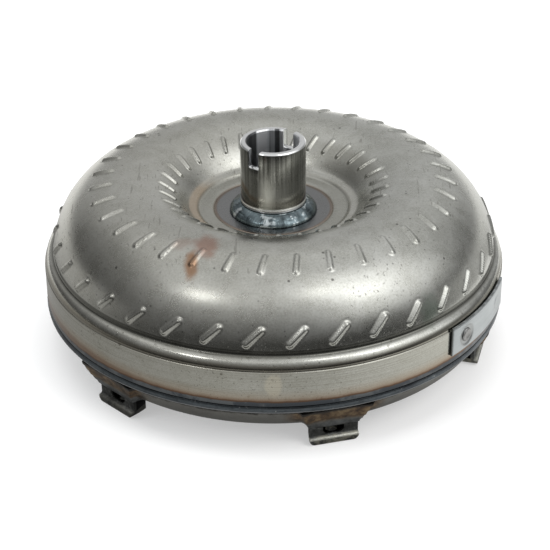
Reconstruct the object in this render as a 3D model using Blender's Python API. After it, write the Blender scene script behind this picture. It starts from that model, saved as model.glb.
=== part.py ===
"""Torque converter, three-element, non-lock-up, for an automatic gearbox.

Frame: metres, +Z up, towards the gearbox. The origin is on the axis of
rotation, in the plane of the six bolting lugs that meet the engine's drive
plate. The impeller shell with the slotted pump drive hub is on top and the
front cover is underneath, so "front" is -Z and "rear" is +Z. Azimuth is in
degrees about Z, from -Y towards +X.

All lengths below are in millimetres and are scaled once, by MM. Profiles and
sections are (radius, z) points unless noted otherwise.
"""
import math

import bmesh
import bpy
import numpy as np
from mathutils import Matrix, Vector

MM = 0.001
GAP = 0.3                      # clearance left between neighbouring pieces
UP = Vector((0, 0, 1))

# ---- driving dimensions ------------------------------------------------
SKIRT_R = 148.4                # outer radius of the machined skirt
SKIRT_END_Z = 35.4             # lower end of the skirt
SHELL_T = 3.5                  # sheet thickness of the impeller shell
SHELL_CENTRE_Z = 86.1          # underside of the shell's sunk centre
TORUS_R = 93.5                 # radius of the torus section's centre
TORUS_Z = 64.2                 # height of the impeller torus centre
TORUS_HALF_H = 48.5            # shell section, centre to top
TORUS_HALF_W = 48.8            # shell section, centre to outer side

HUB_R = 20.86                  # pump drive hub journal radius
HUB_BORE_R = 16.5
HUB_TOP_Z = 136.9

COVER_R = SKIRT_R - SHELL_T - GAP
COVER_T = 4.5
COVER_BOTTOM_Z = 8.7           # lowest ring of the cover
COVER_CENTRE_Z = 11.7          # underside of the raised centre
COVER_FLOOR_Z = 16.6           # inner face of the raised centre
COVER_END_Z = 45.0
COVER_CORNER_R = 26.0
PILOT_R = 17.0
SPIGOT_R = 12.1                # pilot spigot in the cover's bore

LUG_COUNT = 6
LUG_FIRST_AZIMUTH = 15.0
LUG_W = 31.0
LUG_TOP_Z = 11.3

TURBINE_Z = 62.2               # height of the turbine torus centre
TURBINE_A = 44.8               # outer radius of the turbine shell section
TURBINE_T = 1.6
TURBINE_CENTRE_Z = 36.3        # underside of the turbine shell's flat centre
TURBINE_HUB_TOP_Z = 47.3

FREEWHEEL_BOTTOM_Z = 54.4      # outer race
FREEWHEEL_TOP_Z = 75.4
FREEWHEEL_R = 40.0
FREEWHEEL_PLATE_T = 2.0
INNER_RACE_R = 22.0
ROLLERS = 8
ROLLER_R = 4.0
ROLLER_PITCH_R = INNER_RACE_R + ROLLER_R + GAP

# segments per turn
SEG_BIG = 36
SEG_STATOR = 30
SEG_MID = 28
SEG_SMALL = 22


# ---- materials ---------------------------------------------------------
SHARP_ANGLE = math.radians(35)

FINISH = {
    "shell_steel": dict(colour=(0.42, 0.41, 0.38), metallic=1.0, roughness=0.38),
    "machined_steel": dict(colour=(0.62, 0.61, 0.58), metallic=1.0, roughness=0.25),
    "blued_weld": dict(colour=(0.10, 0.13, 0.16), metallic=1.0, roughness=0.35),
    "oxidised_steel": dict(colour=(0.07, 0.065, 0.06), metallic=0.9, roughness=0.5),
    "plate_steel": dict(colour=(0.55, 0.56, 0.57), metallic=1.0, roughness=0.4),
    "blade_steel": dict(colour=(0.33, 0.31, 0.27), metallic=1.0, roughness=0.45),
    "cast_aluminium": dict(colour=(0.62, 0.63, 0.64), metallic=1.0, roughness=0.5),
    "bearing_steel": dict(colour=(0.68, 0.68, 0.68), metallic=1.0, roughness=0.18),
    "spring_steel": dict(colour=(0.25, 0.25, 0.26), metallic=1.0, roughness=0.35),
}


def make_material(name, colour, metallic, roughness):
    material = bpy.data.materials.new(name)
    material.use_nodes = True
    shader = material.node_tree.nodes["Principled BSDF"]
    shader.inputs["Base Color"].default_value = (*colour, 1.0)
    shader.inputs["Metallic"].default_value = metallic
    shader.inputs["Roughness"].default_value = roughness
    material.diffuse_color = (*colour, 1.0)
    return material


# ---- places and outlines -----------------------------------------------
def axes(azimuth):
    """Unit vectors outward and tangential (towards rising azimuth)."""
    def direction(degrees):
        angle = math.radians(degrees)
        return Vector((math.sin(angle), -math.cos(angle), 0.0))
    return direction(azimuth), direction(azimuth + 90.0)


def polar(azimuth, radius, z):
    return axes(azimuth)[0] * radius + UP * z


def arc(centre_r, centre_z, radius, start, end, steps, half_width=None):
    """Section arc, angles in degrees from outward towards +Z.

    half_width replaces the radius in the radial direction.
    """
    half_width = half_width or radius
    points = []
    for i in range(steps + 1):
        angle = math.radians(start + (end - start) * i / steps)
        points.append((centre_r + half_width * math.cos(angle),
                       centre_z + radius * math.sin(angle)))
    return points


def circle(centre, first, second, radius, sides, start=0.0):
    """Polygon around centre, from the unit vector first towards second."""
    points = []
    for i in range(sides):
        angle = math.tau * i / sides + start
        points.append(centre + first * (radius * math.cos(angle))
                      + second * (radius * math.sin(angle)))
    return points


# ---- solids, as bmeshes in mm ------------------------------------------
def face_outwards(solid):
    """Consistent faces whose enclosed volume is positive."""
    bmesh.ops.recalc_face_normals(solid, faces=solid.faces[:])
    if solid.calc_volume(signed=True) < 0.0:
        bmesh.ops.reverse_faces(solid, faces=solid.faces[:])


def dissolve_flat(solid):
    """Remove edges and vertices that divide flat faces."""
    bmesh.ops.dissolve_limit(solid, angle_limit=math.radians(0.02),
                             verts=solid.verts[:], edges=solid.edges[:])


def lathe(profile, segments):
    """Spin a closed profile a full turn about Z."""
    solid = bmesh.new()
    verts = [solid.verts.new(polar(0.0, radius, z)) for radius, z in profile]
    edges = [solid.edges.new((vert, verts[(i + 1) % len(verts)]))
             for i, vert in enumerate(verts)]
    bmesh.ops.spin(solid, geom=verts + edges, cent=(0, 0, 0), axis=(0, 0, 1),
                   angle=math.tau, steps=segments, use_merge=True)
    bmesh.ops.remove_doubles(solid, verts=solid.verts[:], dist=1e-4)
    if min(radius for radius, z in profile) < 1e-6:
        # discs that reach the axis become single faces
        dissolve_flat(solid)
    return solid


def lathe_part(profile, segments, start, sweep):
    """Spin a closed profile from azimuth start through sweep degrees."""
    solid = bmesh.new()
    face = solid.faces.new([solid.verts.new(polar(start, radius, z)) for radius, z in profile])
    bmesh.ops.spin(solid, geom=[face], cent=(0, 0, 0), axis=(0, 0, 1),
                   angle=math.radians(sweep), steps=segments)
    bmesh.ops.remove_doubles(solid, verts=solid.verts[:], dist=1e-4)
    return solid


def prism(points, extent):
    """Extrude a closed planar polygon of 3-D points along a vector."""
    solid = bmesh.new()
    face = solid.faces.new([solid.verts.new(Vector(point)) for point in points])
    extruded = bmesh.ops.extrude_face_region(solid, geom=[face])
    moved = [item for item in extruded["geom"] if isinstance(item, bmesh.types.BMVert)]
    bmesh.ops.translate(solid, verts=moved, vec=Vector(extent))
    return solid


def loft(first, second, caps=None):
    """Join two outlines of equal length and cap both.

    caps lists the cap faces by outline index; by default each is one face.
    """
    solid = bmesh.new()
    rows = [[solid.verts.new(point) for point in outline] for outline in (first, second)]
    count = len(first)
    for i in range(count):
        j = (i + 1) % count
        solid.faces.new((rows[0][i], rows[0][j], rows[1][j], rows[1][i]))
    for cap in caps or [range(count)]:
        solid.faces.new([rows[0][i] for i in reversed(cap)])
        solid.faces.new([rows[1][i] for i in cap])
    return solid


def merge(solids):
    """One bmesh holding the given solids as they are."""
    merged = bmesh.new()
    for solid in solids:
        face_outwards(solid)
        mesh = bpy.data.meshes.new("scratch")
        solid.to_mesh(mesh)
        solid.free()
        merged.from_mesh(mesh)
        bpy.data.meshes.remove(mesh)
    return merged


def spline_cutter(teeth, bore_r, bottom_z, height):
    """Toothed prism that cuts a spline into a bore."""
    root_r, tip_r = bore_r - 0.2, bore_r + 1.3
    points = []
    for i in range(teeth):
        for pitches, radius in ((-0.25, tip_r), (0.25, tip_r), (0.375, root_r), (0.625, root_r)):
            points.append(polar((i + pitches) * 360.0 / teeth, radius, bottom_z))
    return prism(points, UP * height)


# ---- objects -----------------------------------------------------------
def clear_scene():
    for obj in list(bpy.data.objects):
        bpy.data.objects.remove(obj, do_unlink=True)
    for mesh in list(bpy.data.meshes):
        bpy.data.meshes.remove(mesh)


def scaled_mesh(name, solid, origin=(0, 0, 0)):
    """Turn a solid into mesh data in metres, measured from origin (mm)."""
    face_outwards(solid)
    offset = Vector(origin)
    for vert in solid.verts:
        vert.co = (vert.co - offset) * MM
    mesh = bpy.data.meshes.new(name)
    solid.to_mesh(mesh)
    solid.free()
    return mesh


def shade(mesh):
    mesh.shade_smooth()
    mesh.set_sharp_from_angle(angle=SHARP_ANGLE)


def new_object(name, solid, finish, parent, origin=(0, 0, 0)):
    """Link a solid under parent, which stands at origin (mm)."""
    mesh = scaled_mesh(name, solid, origin)
    shade(mesh)
    mesh.materials.append(make_material(name + "_finish", **FINISH[finish]))
    obj = bpy.data.objects.new(name, mesh)
    bpy.context.scene.collection.objects.link(obj)
    obj.parent = parent
    return obj


def empty(name, location=(0, 0, 0), parent=None):
    obj = bpy.data.objects.new(name, None)
    bpy.context.scene.collection.objects.link(obj)
    obj.location = Vector(location) * MM
    obj.parent = parent
    return obj


def boolean(obj, solid, operation):
    """Apply an exact Boolean between obj and a solid."""
    tool_mesh = scaled_mesh("cutter", solid)
    tool = bpy.data.objects.new("cutter", tool_mesh)
    bpy.context.scene.collection.objects.link(tool)
    modifier = obj.modifiers.new("cut", "BOOLEAN")
    modifier.operation = operation
    modifier.solver = "EXACT"
    modifier.object = tool
    bpy.context.view_layer.update()
    graph = bpy.context.evaluated_depsgraph_get()
    result = bpy.data.meshes.new_from_object(obj.evaluated_get(graph))
    obj.modifiers.remove(modifier)
    old = obj.data
    result.name = old.name
    obj.data = result
    bpy.data.meshes.remove(old)
    bpy.data.objects.remove(tool, do_unlink=True)
    bpy.data.meshes.remove(tool_mesh)

    # weld the slivers and flat seams the Boolean leaves; distance in metres
    clean = bmesh.new()
    clean.from_mesh(result)
    bmesh.ops.remove_doubles(clean, verts=clean.verts[:], dist=2e-6)
    dissolve_flat(clean)
    clean.to_mesh(result)
    clean.free()
    shade(result)


def ring(name, profile, segments, finish, parent):
    return new_object(name, lathe(profile, segments), finish, parent)


def flat_ring(name, inner_r, outer_r, bottom_z, top_z, segments, finish, parent):
    profile = [(inner_r, bottom_z), (outer_r, bottom_z), (outer_r, top_z), (inner_r, top_z)]
    return ring(name, profile, segments, finish, parent)


# ---- impeller side of the housing --------------------------------------
HUB_SLOT_W = 8.0
HUB_SLOT_DEPTH = 12.0
HUB_SLOT_LENGTH = 60.0         # crosses the whole hub
HUB_SLOT_AZIMUTH = -37.0


def impeller_shell(parent):
    """Torus shell: sunk centre, bead shoulder and straight skirt."""
    bore_r = 21.4
    inner_half_h = TORUS_HALF_H - SHELL_T
    inner_skirt_r = SKIRT_R - SHELL_T
    outer = [(bore_r, 88.6), (28.5, 88.7), (37.6, 89.8), (47.6, 90.2), (50.0, 92.1), (54.0, 93.3)]
    outer += arc(TORUS_R, TORUS_Z, TORUS_HALF_H, 136, 92, 3)
    outer += arc(TORUS_R, TORUS_Z, TORUS_HALF_H, 77, 14, 5, half_width=TORUS_HALF_W)
    outer += [(142.0, 71.4), (144.6, 68.0), (147.2, 63.8), (SKIRT_R, 59.0),
              (SKIRT_R, SKIRT_END_Z)]
    inner = [(inner_skirt_r, SKIRT_END_Z), (inner_skirt_r, 60.0), (141.4, 66.4)]
    inner += arc(TORUS_R, TORUS_Z, inner_half_h, 8, 80, 4, half_width=TORUS_HALF_W - SHELL_T)
    inner += arc(TORUS_R, TORUS_Z, inner_half_h, 96, 144, 3)
    inner += [(48.0, SHELL_CENTRE_Z), (bore_r, SHELL_CENTRE_Z)]
    ring("impeller_shell", outer + inner, SEG_BIG, "shell_steel", parent)


def impeller_hub(parent):
    """Pump drive hub: slotted tube with a locating flange inside the shell."""
    flange_r, flange_z0, flange_z1 = 30.0, 82.5, SHELL_CENTRE_Z - GAP
    profile = [(HUB_BORE_R, flange_z0), (flange_r, flange_z0), (flange_r, flange_z1),
               (HUB_R, flange_z1), (HUB_R, 95.0), (HUB_R, HUB_TOP_Z - 0.8),
               (HUB_R - 0.8, HUB_TOP_Z), (HUB_BORE_R + 0.7, HUB_TOP_Z),
               (HUB_BORE_R, HUB_TOP_Z - 0.7)]
    hub = ring("impeller_hub", profile, SEG_BIG, "machined_steel", parent)
    slot = bmesh.new()
    bmesh.ops.create_cube(slot, size=1.0)
    bmesh.ops.scale(slot, vec=(HUB_SLOT_W, HUB_SLOT_LENGTH, 2 * HUB_SLOT_DEPTH),
                    verts=slot.verts[:])
    bmesh.ops.rotate(slot, cent=(0, 0, 0), verts=slot.verts[:],
                     matrix=Matrix.Rotation(math.radians(HUB_SLOT_AZIMUTH), 3, "Z"))
    bmesh.ops.translate(slot, verts=slot.verts[:], vec=(0, 0, HUB_TOP_Z))
    boolean(hub, slot, "DIFFERENCE")


def hub_weld_bead(parent):
    """Fillet between the hub and the top of the shell."""
    bead_r = HUB_R + GAP
    profile = [(bead_r, 89.0), (27.9, 89.1), (26.9, 91.2), (24.4, 93.2), (22.2, 94.6),
               (bead_r, 95.0)]
    ring("hub_weld_bead", profile, SEG_BIG, "blued_weld", parent)


# ---- blade wheels ------------------------------------------------------
CORE_A = 18.0                  # outer radius of both core rings' section
CORE_T = 1.5
BLADE_T = 1.1
BLADE_START, BLADE_END = 3.0, 147.0    # section angles of the blade's ends
BLADE_ROWS = 3

# (section angle, azimuth offset) along a blade, degrees; the section angle
# runs from outward, over the side away from the stator, to inward
IMPELLER_BEND = [(2, 1.0), (16, 5.5), (40, 6.3), (67, 6.95), (95, 9.3), (122, 13.4), (148, 18.5)]
TURBINE_BEND = [(2, 0.0), (40, -4.0), (75, -10.0), (110, -18.0), (148, -29.0)]


def blade_wheel(name, count, centre_z, sign, reach, bend, parent):
    """Sheet blades and a half core ring, as one piece.

    The ring's skin is divided into a narrow column under each blade and a wide
    one between blades; each narrow column is drawn out into its blade. sign is
    +1 for a wheel above its torus centre and -1 for one below.
    """
    solid = bmesh.new()
    bend_angles, bend_azimuths = zip(*bend)

    def corner(degrees, section_r, azimuth, side):
        angle = math.radians(degrees)
        radius = TORUS_R + section_r * math.cos(angle)
        half_azimuth = math.degrees(BLADE_T / 2 / radius)
        z = centre_z + sign * section_r * math.sin(angle)
        return solid.verts.new(polar(azimuth + side * half_azimuth, radius, z))

    # wheel[blade][row][level][side]
    wheel = []
    for k in range(count):
        column = []
        for i in range(BLADE_ROWS + 1):
            degrees = BLADE_START + (BLADE_END - BLADE_START) * i / BLADE_ROWS
            azimuth = 360.0 * k / count + float(np.interp(degrees, bend_angles, bend_azimuths))
            column.append([[corner(degrees, section_r, azimuth, side) for side in (-1, 1)]
                           for section_r in (CORE_A - CORE_T, CORE_A, reach)])
        wheel.append(column)

    core, skin, tip = range(3)         # levels
    quad = solid.faces.new
    for k in range(count):
        this, other = wheel[k], wheel[(k + 1) % count]
        # blade faces, blade edge and the core ring's hollow side beneath it
        for row, ahead in zip(this[:-1], this[1:]):
            quad((row[skin][0], ahead[skin][0], ahead[tip][0], row[tip][0]))
            quad((row[skin][1], row[tip][1], ahead[tip][1], ahead[skin][1]))
            quad((row[tip][0], ahead[tip][0], ahead[tip][1], row[tip][1]))
            quad((row[core][0], row[core][1], ahead[core][1], ahead[core][0]))
        # the blade's two ends
        for end in (this[0], this[-1]):
            quad((end[skin][0], end[tip][0], end[tip][1], end[skin][1]))
            quad((end[core][0], end[skin][0], end[skin][1], end[core][1]))
        # both sides of the core ring between this blade and the next
        for row, ahead, far_row, far_ahead in zip(this[:-1], this[1:], other[:-1], other[1:]):
            quad((row[skin][1], ahead[skin][1], far_ahead[skin][0], far_row[skin][0]))
            quad((row[core][1], far_row[core][0], far_ahead[core][0], ahead[core][1]))
        # rims of the core ring
        for end, far_end in ((this[0], other[0]), (this[-1], other[-1])):
            quad((end[core][1], end[skin][1], far_end[skin][0], far_end[core][0]))
    bmesh.ops.recalc_face_normals(solid, faces=solid.faces[:])
    bmesh.ops.triangulate(solid, faces=solid.faces[:])
    new_object(name, solid, "blade_steel", parent)


# ---- cover side of the housing -----------------------------------------
# (radius, half width, z) of a boss's section, from its flat underside upwards
BOSS_SECTION = (
    (129.6, LUG_W / 2, LUG_TOP_Z + GAP), (138.0, LUG_W / 2, LUG_TOP_Z + GAP),
    (145.6, 22.5, 28.6), (141.6, 22.5, 30.0),
)
# (radius, z)
LUG_SECTION = (
    (125.0, 0.0), (139.4, 0.0), (139.4, 4.6), (137.1, 5.3),
    (137.1, LUG_TOP_Z), (130.8, LUG_TOP_Z), (128.2, 9.9), (125.0, 8.8),
)
# (tangential, z) of the notch in a lug's outer face, open at the top
LUG_NOTCH = ((-6.3, 13.0), (-6.3, 7.6), (-4.2, 6.3), (4.2, 6.3), (6.3, 7.6), (6.3, 13.0))
LUG_NOTCH_R = 135.6            # back of the notch
BOLT_CIRCLE_R = 131.0
LUG_HOLE_R = 4.0


def lug_axes(index):
    return axes(LUG_FIRST_AZIMUTH + 360.0 / LUG_COUNT * (index - 1))


def lug_boss(index):
    out, tangent = lug_axes(index)
    sides = [[out * radius + tangent * (side * half_w) + UP * z
              for radius, half_w, z in BOSS_SECTION] for side in (1, -1)]
    boss = loft(*sides)
    bmesh.ops.triangulate(boss, faces=boss.faces[:])
    return boss


def front_cover(parent):
    """Dished front cover with a flat-bottomed boss above each lug."""
    bore_r = SPIGOT_R + GAP
    corner = (COVER_R - COVER_CORNER_R, COVER_BOTTOM_Z + COVER_CORNER_R)
    outer = [(bore_r, COVER_CENTRE_Z), (58.0, COVER_CENTRE_Z), (64.0, COVER_BOTTOM_Z)]
    outer += arc(*corner, COVER_CORNER_R, -90, 0, 5)
    outer += [(COVER_R, COVER_END_Z)]
    inner = [(COVER_R - COVER_T, COVER_END_Z)]
    inner += arc(*corner, COVER_CORNER_R - COVER_T, 0, -90, 4)
    inner += [(66.0, COVER_BOTTOM_Z + COVER_T), (60.0, COVER_FLOOR_Z), (bore_r, COVER_FLOOR_Z)]
    cover = ring("front_cover", outer + inner, SEG_BIG, "shell_steel", parent)
    boolean(cover, merge([lug_boss(i) for i in range(1, LUG_COUNT + 1)]), "UNION")


def closure_weld_bead(parent):
    """Bead around the cover, just below the skirt's end."""
    bead_r, top_z = COVER_R + GAP, SKIRT_END_Z - GAP
    profile = [(bead_r, top_z), (148.3, top_z), (148.6, 33.4), (148.3, 31.2), (147.3, 30.2),
               (bead_r, 29.8)]
    ring("closure_weld_bead", profile, SEG_BIG, "blued_weld", parent)


def crankshaft_pilot(parent):
    """Chamfered disc with a hollow spigot that stands in the cover's bore."""
    hollow_r, hollow_z, shoulder_z, chamfer = 9.0, 6.0, COVER_CENTRE_Z - GAP, 1.4
    profile = [(hollow_r, hollow_z), (hollow_r, 16.3), (SPIGOT_R, 16.3), (SPIGOT_R, shoulder_z),
               (PILOT_R, shoulder_z), (PILOT_R, chamfer), (PILOT_R - chamfer, 0.0), (0.0, 0.0),
               (0.0, hollow_z)]
    ring("crankshaft_pilot", profile, SEG_MID, "machined_steel", parent)


def pilot_weld_bead(parent):
    """Fillet around the pilot, under the cover."""
    bead_r, top_z = PILOT_R + GAP, COVER_CENTRE_Z - GAP
    profile = [(bead_r, top_z), (bead_r, 7.6), (18.6, 8.3), (20.6, 10.2), (21.2, top_z)]
    ring("pilot_weld_bead", profile, SEG_MID, "blued_weld", parent)


def lug_bracket(index, parent):
    """Forged bolting lug: axial bolt hole and a notch in its outer face."""
    out, tangent = lug_axes(index)
    points = [out * radius - tangent * (LUG_W / 2) + UP * z for radius, z in LUG_SECTION]
    lug = new_object("lug_bracket_%d" % index, prism(points, tangent * LUG_W),
                     "oxidised_steel", parent)
    hole = circle(out * BOLT_CIRCLE_R - UP * 2, out, tangent, LUG_HOLE_R, sides=12)
    boolean(lug, prism(hole, UP * 20.0), "DIFFERENCE")
    notch = [out * LUG_NOTCH_R + tangent * x + UP * z for x, z in LUG_NOTCH]
    boolean(lug, prism(notch, out * 6.0), "DIFFERENCE")


# ---- balance weight ----------------------------------------------------
WEIGHT_R = SKIRT_R + 2.0       # outer face
WEIGHT_Z0, WEIGHT_Z1 = 41.8, 60.8
WEIGHT_AZIMUTH = 45.8          # where the strip starts
WEIGHT_SWEEP = 28.0
SPOT_WELD_OFFSET = 8.5         # degrees either side of the strip's middle


def balance_weight(parent):
    """Curved strip on the skirt that balances the unit."""
    inner_r = SKIRT_R + GAP
    profile = [(inner_r, WEIGHT_Z0), (WEIGHT_R, WEIGHT_Z0), (WEIGHT_R, WEIGHT_Z1),
               (inner_r, WEIGHT_Z1)]
    strip = lathe_part(profile, segments=7, start=WEIGHT_AZIMUTH, sweep=WEIGHT_SWEEP)
    new_object("balance_weight", strip, "plate_steel", parent)


def spot_weld(index, side, parent):
    """Round pad just outside the weight; side is -1 or +1 from its middle."""
    out, tangent = axes(WEIGHT_AZIMUTH + WEIGHT_SWEEP / 2 + side * SPOT_WELD_OFFSET)
    centre = out * (WEIGHT_R + GAP) + UP * ((WEIGHT_Z0 + WEIGHT_Z1) / 2)
    outline = circle(centre, tangent, UP, radius=4.6, sides=14)
    new_object("balance_weight_spot_weld_%d" % index, prism(outline, out * 0.6),
               "plate_steel", parent)


# ---- turbine -----------------------------------------------------------
RIVETS = 8
RIVET_PITCH_R = 38.4
RIVET_FIRST_AZIMUTH = 11.0


def turbine_shell(parent):
    bore_r, top_z = 34.6, TURBINE_CENTRE_Z + TURBINE_T
    outer = arc(TORUS_R, TURBINE_Z, TURBINE_A, -2, -146, 7)
    outer += [(50.0, TURBINE_CENTRE_Z), (bore_r, TURBINE_CENTRE_Z)]
    inner = [(bore_r, top_z), (49.0, top_z)]
    inner += arc(TORUS_R, TURBINE_Z, TURBINE_A - TURBINE_T, -146, -2, 7)
    ring("turbine_shell", outer + inner, SEG_BIG, "blade_steel", parent)


def turbine_hub(parent):
    """Splined hub with a flange under the turbine shell."""
    bore_r, body_r, nose_r, flange_r = 10.4, 34.0, 24.0, 42.0
    bottom_z, flange_z0, flange_z1 = 22.5, 32.6, TURBINE_CENTRE_Z - GAP
    profile = [(bore_r, bottom_z), (nose_r, bottom_z), (nose_r, flange_z0),
               (flange_r, flange_z0), (flange_r, flange_z1), (body_r, flange_z1),
               (body_r, TURBINE_HUB_TOP_Z), (bore_r, TURBINE_HUB_TOP_Z)]
    hub = ring("turbine_hub", profile, SEG_MID, "machined_steel", parent)
    boolean(hub, spline_cutter(16, bore_r, bottom_z=10.0, height=50.0), "DIFFERENCE")


def rivet(index, parent):
    """Rivet head just above the flat centre of the turbine shell."""
    out, tangent = axes(360.0 / RIVETS * (index - 1) + RIVET_FIRST_AZIMUTH)
    centre = out * RIVET_PITCH_R + UP * (TURBINE_CENTRE_Z + TURBINE_T + GAP)
    outline = circle(centre, tangent, out, radius=2.3, sides=10)
    new_object("turbine_rivet_%d" % index, prism(outline, UP * 1.4), "spring_steel", parent)


# ---- stator ------------------------------------------------------------
STATOR_BLADES = 15
VANE_Z = 64.2
VANE_Z_SCALE = 0.92
VANE_NOMINAL_R = 73.0          # radius at which the outline has its full width
# (tangential, axial) around a vane, before scaling
VANE_OUTLINE = ((-8.8, 9.2), (-1.6, 4.4), (7.6, -8.8), (5.6, -8.4), (-3.4, 0.4), (-9.6, 7.6))
# (radius, tangential scale) at the vane's root and tip
VANE_STATIONS = ((47.6, 0.84), (73.4, 1.0))
STATOR_CORE = [(72.4, 55.4), (75.0, 56.2), (75.4, 64.2), (75.0, 72.2), (72.4, 73.0)]


def stator_vane(index):
    out, tangent = axes(360.0 * index / STATOR_BLADES)
    rows = [[out * radius + tangent * (x * scale * radius / VANE_NOMINAL_R)
             + UP * (VANE_Z + z * VANE_Z_SCALE) for x, z in VANE_OUTLINE]
            for radius, scale in VANE_STATIONS]
    vane = loft(*rows)
    bmesh.ops.triangulate(vane, faces=vane.faces[:])
    return vane


def stator_wheel(parent):
    """Cast wheel: bored hub ring, inclined guide vanes and a core ring."""
    wheel = flat_ring("stator_wheel", FREEWHEEL_R + GAP, 48.8, 52.4, 77.2,
                      SEG_STATOR, "cast_aluminium", parent)
    boolean(wheel, merge([stator_vane(i) for i in range(STATOR_BLADES)]), "UNION")
    boolean(wheel, lathe(STATOR_CORE, SEG_STATOR), "UNION")


# ---- freewheel ---------------------------------------------------------
# (outward, tangential) around a roller pocket
POCKET = ((20.0, -4.4), (27.5, -4.4), (30.0, -3.2), (31.0, 1.0), (31.4, 10.6), (21.0, 10.6))
# (tangential, outward) along the middle of a folded spring
SPRING_LINE = ((4.9, 24.2), (8.4, 27.0), (5.9, 29.8))
SPRING_HALF_T = 0.4            # measured tangentially
SPRING_Z = (60.0, 70.0)
ROLLER_HALF_LENGTH = 9.6


def roller_axes(index):
    return axes(360.0 / ROLLERS * (index - 1))


def roller_pocket(index):
    out, tangent = roller_axes(index)
    outline = [out * x + tangent * y + UP * 50.0 for x, y in POCKET]
    return prism(outline, UP * 30.0)


def freewheel_outer_race(parent):
    """Cam ring of the roller clutch: ramped pockets open to the bore."""
    race = flat_ring("freewheel_outer_race", 22.6, FREEWHEEL_R, FREEWHEEL_BOTTOM_Z,
                     FREEWHEEL_TOP_Z, SEG_STATOR, "bearing_steel", parent)
    boolean(race, merge([roller_pocket(i) for i in range(1, ROLLERS + 1)]), "DIFFERENCE")


def freewheel_inner_race(parent):
    """Splined sleeve inside the rollers, a little shorter than the outer race."""
    bore_r, inset = 14.2, 0.2
    race = flat_ring("freewheel_inner_race", bore_r, INNER_RACE_R, FREEWHEEL_BOTTOM_Z + inset,
                     FREEWHEEL_TOP_Z - inset, SEG_MID, "bearing_steel", parent)
    boolean(race, spline_cutter(18, bore_r, bottom_z=50.0, height=30.0), "DIFFERENCE")


def freewheel_plate(name, bottom_z, parent):
    """Plate that closes one end of the freewheel."""
    flat_ring(name, 17.4, 39.6, bottom_z, bottom_z + FREEWHEEL_PLATE_T,
              SEG_MID, "spring_steel", parent)


def roller(index, parent):
    """Roller on an empty of its own, so that it can turn about its axis."""
    out, tangent = roller_axes(index)
    centre = out * ROLLER_PITCH_R + UP * ((FREEWHEEL_BOTTOM_Z + FREEWHEEL_TOP_Z) / 2)
    pivot = empty("roller_%d_axis" % index, centre, parent)
    outline = circle(centre - UP * ROLLER_HALF_LENGTH, tangent, out, ROLLER_R, sides=14)
    new_object("freewheel_roller_%d" % index, prism(outline, UP * (2 * ROLLER_HALF_LENGTH)),
               "bearing_steel", pivot, origin=centre)


def roller_spring(index, parent):
    """Folded leaf spring that keeps its roller on the ramp."""
    out, tangent = roller_axes(index)
    outline = [(x - SPRING_HALF_T, y) for x, y in SPRING_LINE]
    outline += [(x + SPRING_HALF_T, y) for x, y in reversed(SPRING_LINE)]
    last = len(outline) - 1
    # the outline is bent, so each leaf gets a cap face of its own
    caps = [(i, i + 1, last - 1 - i, last - i) for i in range(len(SPRING_LINE) - 1)]
    rows = [[out * y + tangent * x + UP * z for x, y in outline] for z in SPRING_Z]
    new_object("freewheel_spring_%d" % index, loft(*rows, caps), "spring_steel", parent)


# ---- thrust bearings ---------------------------------------------------
THRUST_RACE_T = 0.8
NEEDLE_R = 1.0
NEEDLE_INSET = 1.4             # from the cage's bore and rim
CAGE_HALF_T = 0.55


def needle_cage(name, bore_r, rim_r, mid_z, needles, parent):
    """Flat cage with radial needles standing slightly proud on both sides."""
    cage = flat_ring(name, bore_r, rim_r, mid_z - CAGE_HALF_T, mid_z + CAGE_HALF_T,
                     SEG_SMALL, "bearing_steel", parent)
    solids = []
    for i in range(needles):
        out, tangent = axes(360.0 * (i + 0.5) / needles)
        centre = out * (bore_r + NEEDLE_INSET) + UP * mid_z
        outline = circle(centre, tangent, UP, NEEDLE_R, sides=6, start=math.tau / 12)
        solids.append(prism(outline, out * (rim_r - bore_r - 2 * NEEDLE_INSET)))
    boolean(cage, merge(solids), "UNION")


def thrust_bearing(lower, cage, upper, bore_r, rim_r, seat_z, needles,
                   lower_rim_r=None, lower_t=THRUST_RACE_T):
    """Race, needle cage and race, stacked upwards from the face at seat_z.

    lower, cage and upper are (name, parent) pairs.
    """
    def race(piece, outer_r, bottom_z, thickness):
        name, parent = piece
        flat_ring(name, bore_r, outer_r, bottom_z, bottom_z + thickness,
                  SEG_SMALL, "bearing_steel", parent)

    lower_z = seat_z + GAP
    mid_z = lower_z + lower_t + GAP + NEEDLE_R
    race(lower, lower_rim_r or rim_r, lower_z, lower_t)
    needle_cage(cage[0], bore_r, rim_r, mid_z, needles, cage[1])
    race(upper, rim_r, mid_z + NEEDLE_R + GAP, THRUST_RACE_T)


# ---- assembly ----------------------------------------------------------
def build_housing(housing):
    """Welded housing, turning with the engine."""
    impeller_shell(housing)
    impeller_hub(housing)
    hub_weld_bead(housing)
    blade_wheel("impeller_blade_wheel", count=35, centre_z=TORUS_Z, sign=1, reach=43.2,
                bend=IMPELLER_BEND, parent=housing)
    front_cover(housing)
    closure_weld_bead(housing)
    crankshaft_pilot(housing)
    pilot_weld_bead(housing)
    for i in range(1, LUG_COUNT + 1):
        lug_bracket(i, housing)
    balance_weight(housing)
    spot_weld(1, -1, housing)
    spot_weld(2, 1, housing)


def build_turbine(turbine):
    """Turbine, driving the gearbox input shaft."""
    turbine_shell(turbine)
    blade_wheel("turbine_blade_wheel", count=33, centre_z=TURBINE_Z, sign=-1, reach=41.5,
                bend=TURBINE_BEND, parent=turbine)
    turbine_hub(turbine)
    for i in range(1, RIVETS + 1):
        rivet(i, turbine)


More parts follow.
